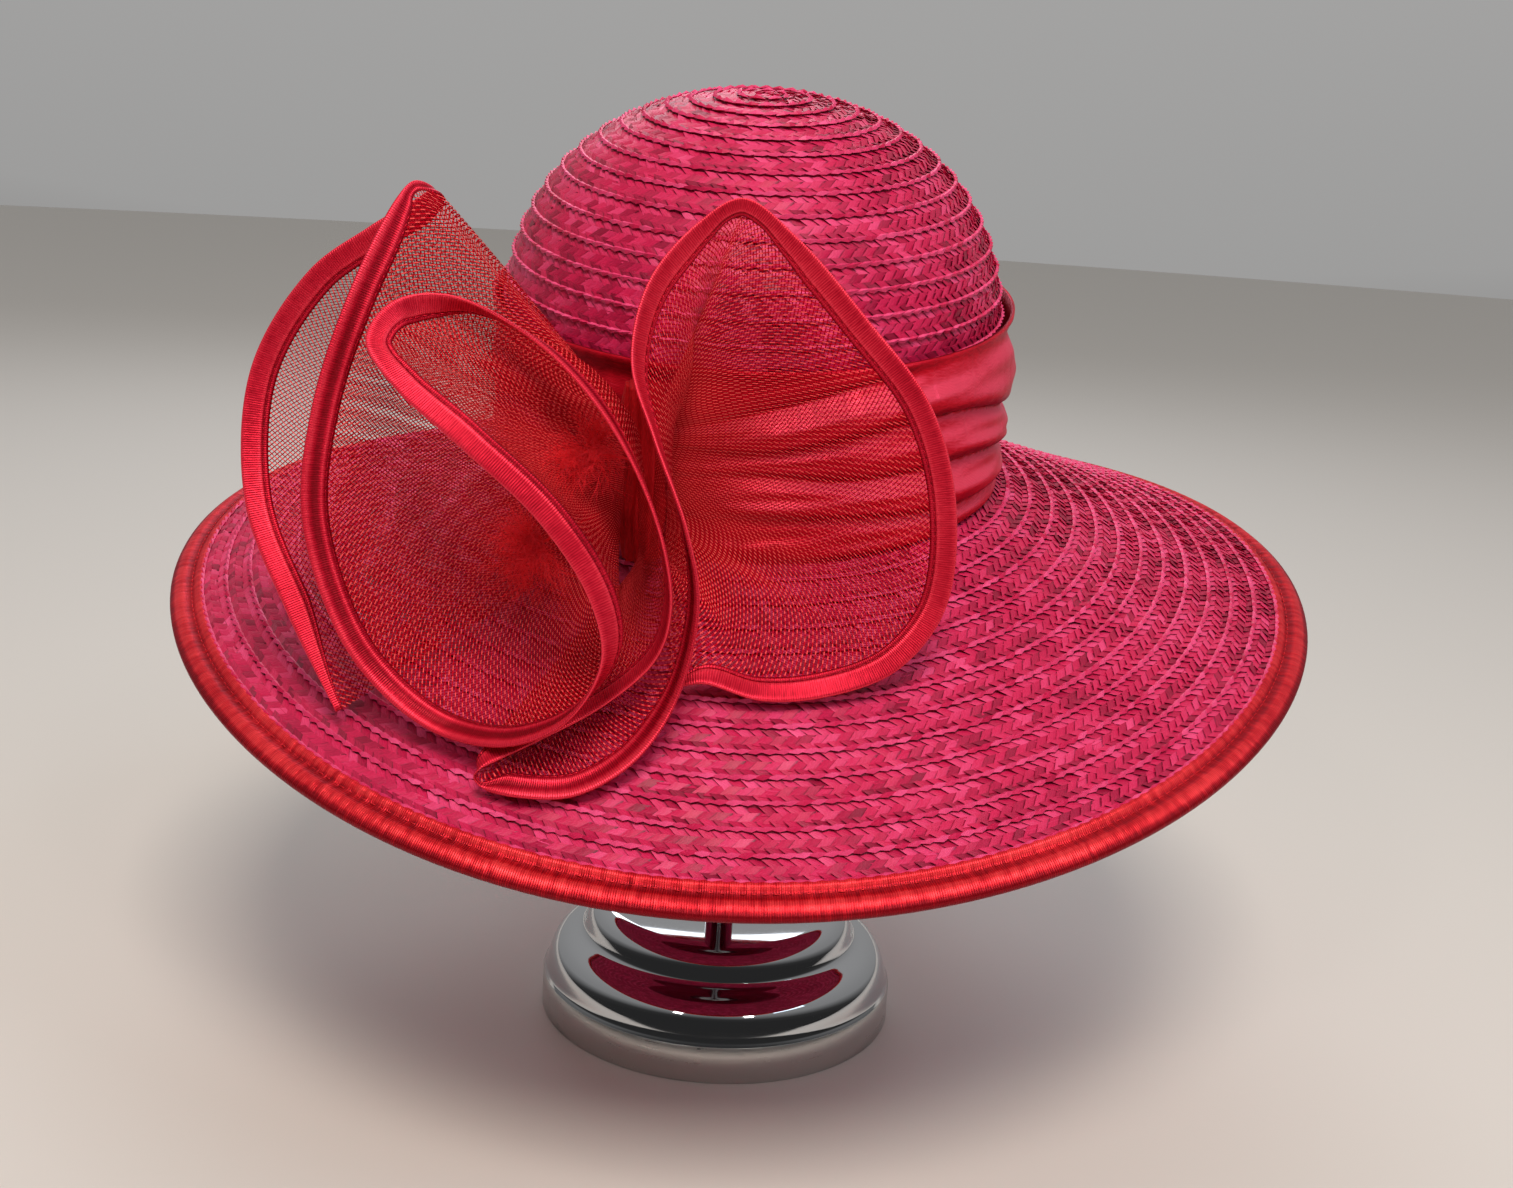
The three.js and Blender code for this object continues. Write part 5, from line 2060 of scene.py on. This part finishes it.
@dataclass
class Stand:
    """The display stand: a turned foot, a thin post and a rounded cap inside the crown."""

    sides: int = 160
    rim_radius: float = 69.7
    rim_top: float = 14.6
    rim_bevel: Pair = (0.4, 0.5)
    foot_bevel: float = 0.6
    foot_top: float = 44.2
    foot_flat: float = 20.0
    post_radius: float = 5.8
    collar: Table = (
        # millimetres: how far it stands out from the post, and height above the foot
        (1.6, 0.3),
        (1.6, 2.0),
        (1.1, 2.6),
        (0.0, 2.8),
    )
    clearance: float = 0.3
    cap_radius: float = 46.0
    cap_bevel: Pair = (3.4, 3.0)
    cap_edge: float = 0.3
    cap_crown: float = 20.0
    cap_steps: int = 20
    profile: Table = (
        # millimetres: radius and height from the upright rim to the flat top
        (69.2, 14.9), (68.7, 15.6), (68.3, 16.6), (67.95, 18.0), (67.5, 19.8), (66.9, 21.8),
        (66.1, 23.8), (65.0, 25.8), (63.5, 27.6), (61.7, 29.1), (59.5, 30.2), (57.3, 30.9),
        (55.6, 31.4), (54.4, 32.2), (53.7, 33.4), (53.2, 35.0), (52.6, 37.0), (51.8, 38.9),
        (50.7, 40.7), (49.2, 42.2), (47.4, 43.3), (45.6, 43.9), (43.5, 44.2),
    )

    def build(self, polished: Material, brushed: Material) -> None:
        """Turns the three pieces."""
        low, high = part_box("stand_cap")
        cap_low, cap_high = low.z / MM, high.z / MM
        rim, top = self.rim_radius, self.foot_top
        inward, down = self.rim_bevel
        foot = [(0, 0), (rim - self.foot_bevel, 0), (rim, self.foot_bevel)]
        foot += [(rim, self.rim_top - down), (rim - inward, self.rim_top)]
        base = self.turned("stand_foot", [*foot, *self.profile, (self.foot_flat, top), (0, top)])
        base.data.materials.append(polished)
        base.data.materials.append(brushed)
        for face in base.data.polygons:
            face.material_index = 1 if face.center.z < self.rim_top * MM else 0
        dress(base, ("stand_base",))
        collar = [(self.post_radius + wider, top + up) for wider, up in self.collar]
        end = cap_low - self.clearance
        post = [(0, top + self.clearance), *collar, (self.post_radius, end), (0, end)]
        dress(self.turned("stand_stem", post), ("stand_post",), polished)
        wide, narrow = (self.cap_radius - bevel for bevel in self.cap_bevel)
        cap = [(0, cap_low), (wide, cap_low), (narrow, cap_low + self.cap_edge)]
        for turn in np.linspace(0, math.pi / 2, self.cap_steps + 1)[:-1]:
            height = cap_high - self.cap_crown * (1 - math.sin(turn))
            cap.append((self.cap_radius * math.cos(turn), height))
        cap.append((0, cap_high))
        dress(self.turned("stand_top", cap), ("stand_cap",), polished)

    def turned(self, name: str, profile: list[Pair]) -> Piece:
        """Turns one piece from a profile in millimetres."""
        return lathe([(r * MM, z * MM) for r, z in profile], self.sides).build(name)


@dataclass(frozen=True)
class Lamp:
    """A soft square light that faces the hat: place and size in metres, power in watts."""

    name: str
    at: Triple
    size: float
    power: float
    colour: Colour
    aim: Triple = (0.0, 0.0, 0.22)

    def hang(self) -> None:
        """Adds the light."""
        data = bpy.data.lights.new(self.name, "AREA")
        data.size = self.size
        data.energy = self.power
        data.color = self.colour
        made = bpy.data.objects.new(self.name, data)
        made.location = self.at
        made.rotation_euler = (Vector(self.aim) - Vector(self.at)).to_track_quat("-Z", "Y").to_euler()
        bpy.context.scene.collection.objects.link(made)


@dataclass
class Studio:
    """The pale floor, the soft lights and the camera."""

    lamps: tuple[Lamp, ...] = (
        Lamp("key", (0.1, -1.3, 1.8), 0.7, 32.0, (1.0, 0.88, 0.78)),
        Lamp("fill", (1.4, -0.9, 1.8), 0.9, 7.0, (0.72, 0.84, 1.0)),
        Lamp("rim", (-0.2, 1.5, 1.5), 1.0, 9.0, (0.90, 0.94, 1.0)),
        Lamp("left", (-0.75, -1.6, 1.25), 0.2, 2.0, (1.0, 0.97, 0.94)),
        Lamp("right", (0.75, -1.6, 1.25), 0.2, 2.0, (1.0, 0.97, 0.94)),
    )
    camera_at: Triple = (0.0, -0.674, 0.334)
    pitch: float = 0.238
    yaw: float = 0.010
    roll: float = -0.063
    focal_pixels: float = 1800.0
    picture_width: float = 1513.0
    sensor: float = 36.0
    floor_radius: float = 6.5
    floor_sides: int = 96
    sky_strength: float = 0.46
    sky_turn: float = 0.4
    sky_stops: Table = ((0.0, 0.07), (0.12, 0.10), (0.34, 0.74), (1.0, 1.0))

    def camera(self) -> None:
        """Places the camera at the photograph's viewing angle."""
        cp, sp = math.cos(self.pitch), math.sin(self.pitch)
        cy, sy = math.cos(self.yaw), math.sin(self.yaw)
        forward = Vector((sy * cp, cy * cp, -sp))
        right = Vector((cy, -sy, 0))
        down = forward.cross(right)
        cr, sr = math.cos(self.roll), math.sin(self.roll)
        across = cr * right + sr * down
        below = -sr * right + cr * down
        turn = Matrix((across, -below, -forward)).transposed().to_4x4()
        data = bpy.data.cameras.new("camera")
        data.sensor_width = self.sensor
        data.lens = self.focal_pixels / self.picture_width * self.sensor
        made = bpy.data.objects.new("camera", data)
        made.matrix_world = Matrix.Translation(self.camera_at) @ turn
        bpy.context.scene.collection.objects.link(made)
        bpy.context.scene.camera = made

    def build(self) -> None:
        """Makes the floor, the lights, the world and the camera."""
        turn = circle(self.floor_sides)
        rim = np.stack([np.cos(turn), np.sin(turn), np.zeros_like(turn)], axis=1) * self.floor_radius
        floor = Shell(rim, [list(range(self.floor_sides))]).build("floor")
        look = Shading("pale_floor")
        look.set(base_color=(0.66, 0.63, 0.59), roughness=0.75)
        floor.data.materials.append(look.material)
        for lamp in self.lamps:
            lamp.hang()
        self.sky()
        bpy.context.scene.view_settings.view_transform = "Standard"
        self.camera()

    def sky(self) -> None:
        """Makes a plain world that is pale overhead and behind the hat, and dark behind the camera."""
        world = bpy.data.worlds.new("studio")
        world.use_nodes = True
        look = Nodes(world.node_tree)
        split = look.node("ShaderNodeSeparateXYZ")
        look.feed(split.inputs[0], look.node("ShaderNodeTexCoord").outputs["Generated"])
        height = look.math("MULTIPLY_ADD", split.outputs[1], self.sky_turn, split.outputs[2])
        stops = [(at, (tone, tone * 0.99, tone * 0.98)) for at, tone in self.sky_stops]
        background = look.tree.nodes["Background"]
        look.feed(background.inputs[0], look.ramp(height, stops))
        background.inputs[1].default_value = self.sky_strength
        bpy.context.scene.world = world


def main() -> None:
    """Builds every piece of the hat and its stand round the frame."""
    logging.basicConfig(level=logging.INFO, format="%(name)s: %(message)s")
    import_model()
    random = np.random.default_rng(SEED)
    seat, crown_shape, brim_shape = HatSeat(), CrownShape(), BrimShape()
    Studio().build()
    straw = StrawFinish().material()
    feather = FeatherFinish().material()
    Crown(seat, crown_shape, Plait(), random).build(straw)
    Brim(seat, brim_shape, Plait(), random).build(straw)
    BrimBinding(seat, brim_shape, random).build(BRIM_SATIN.material())
    HatBand(seat, crown_shape).build(PLEATED_SATIN.material())
    Gather(seat, crown_shape).build(GatherFinish().material())
    TrimStrip(seat).build(NetFinish().material(), TRIM_SATIN.material())
    FeatherTuft(seat, random, "lower", (-66, -124, 13), (-40.2, -105.2, 22), 26).build(feather)
    FeatherTuft(seat, random, "upper", (-50, -123, 46), (-37, -107.9, 38), 22, quills=74).build(feather)
    Stand().build(PolishedFinish().material(), BrushedFinish().material())


if __name__ == "__main__":
    main()
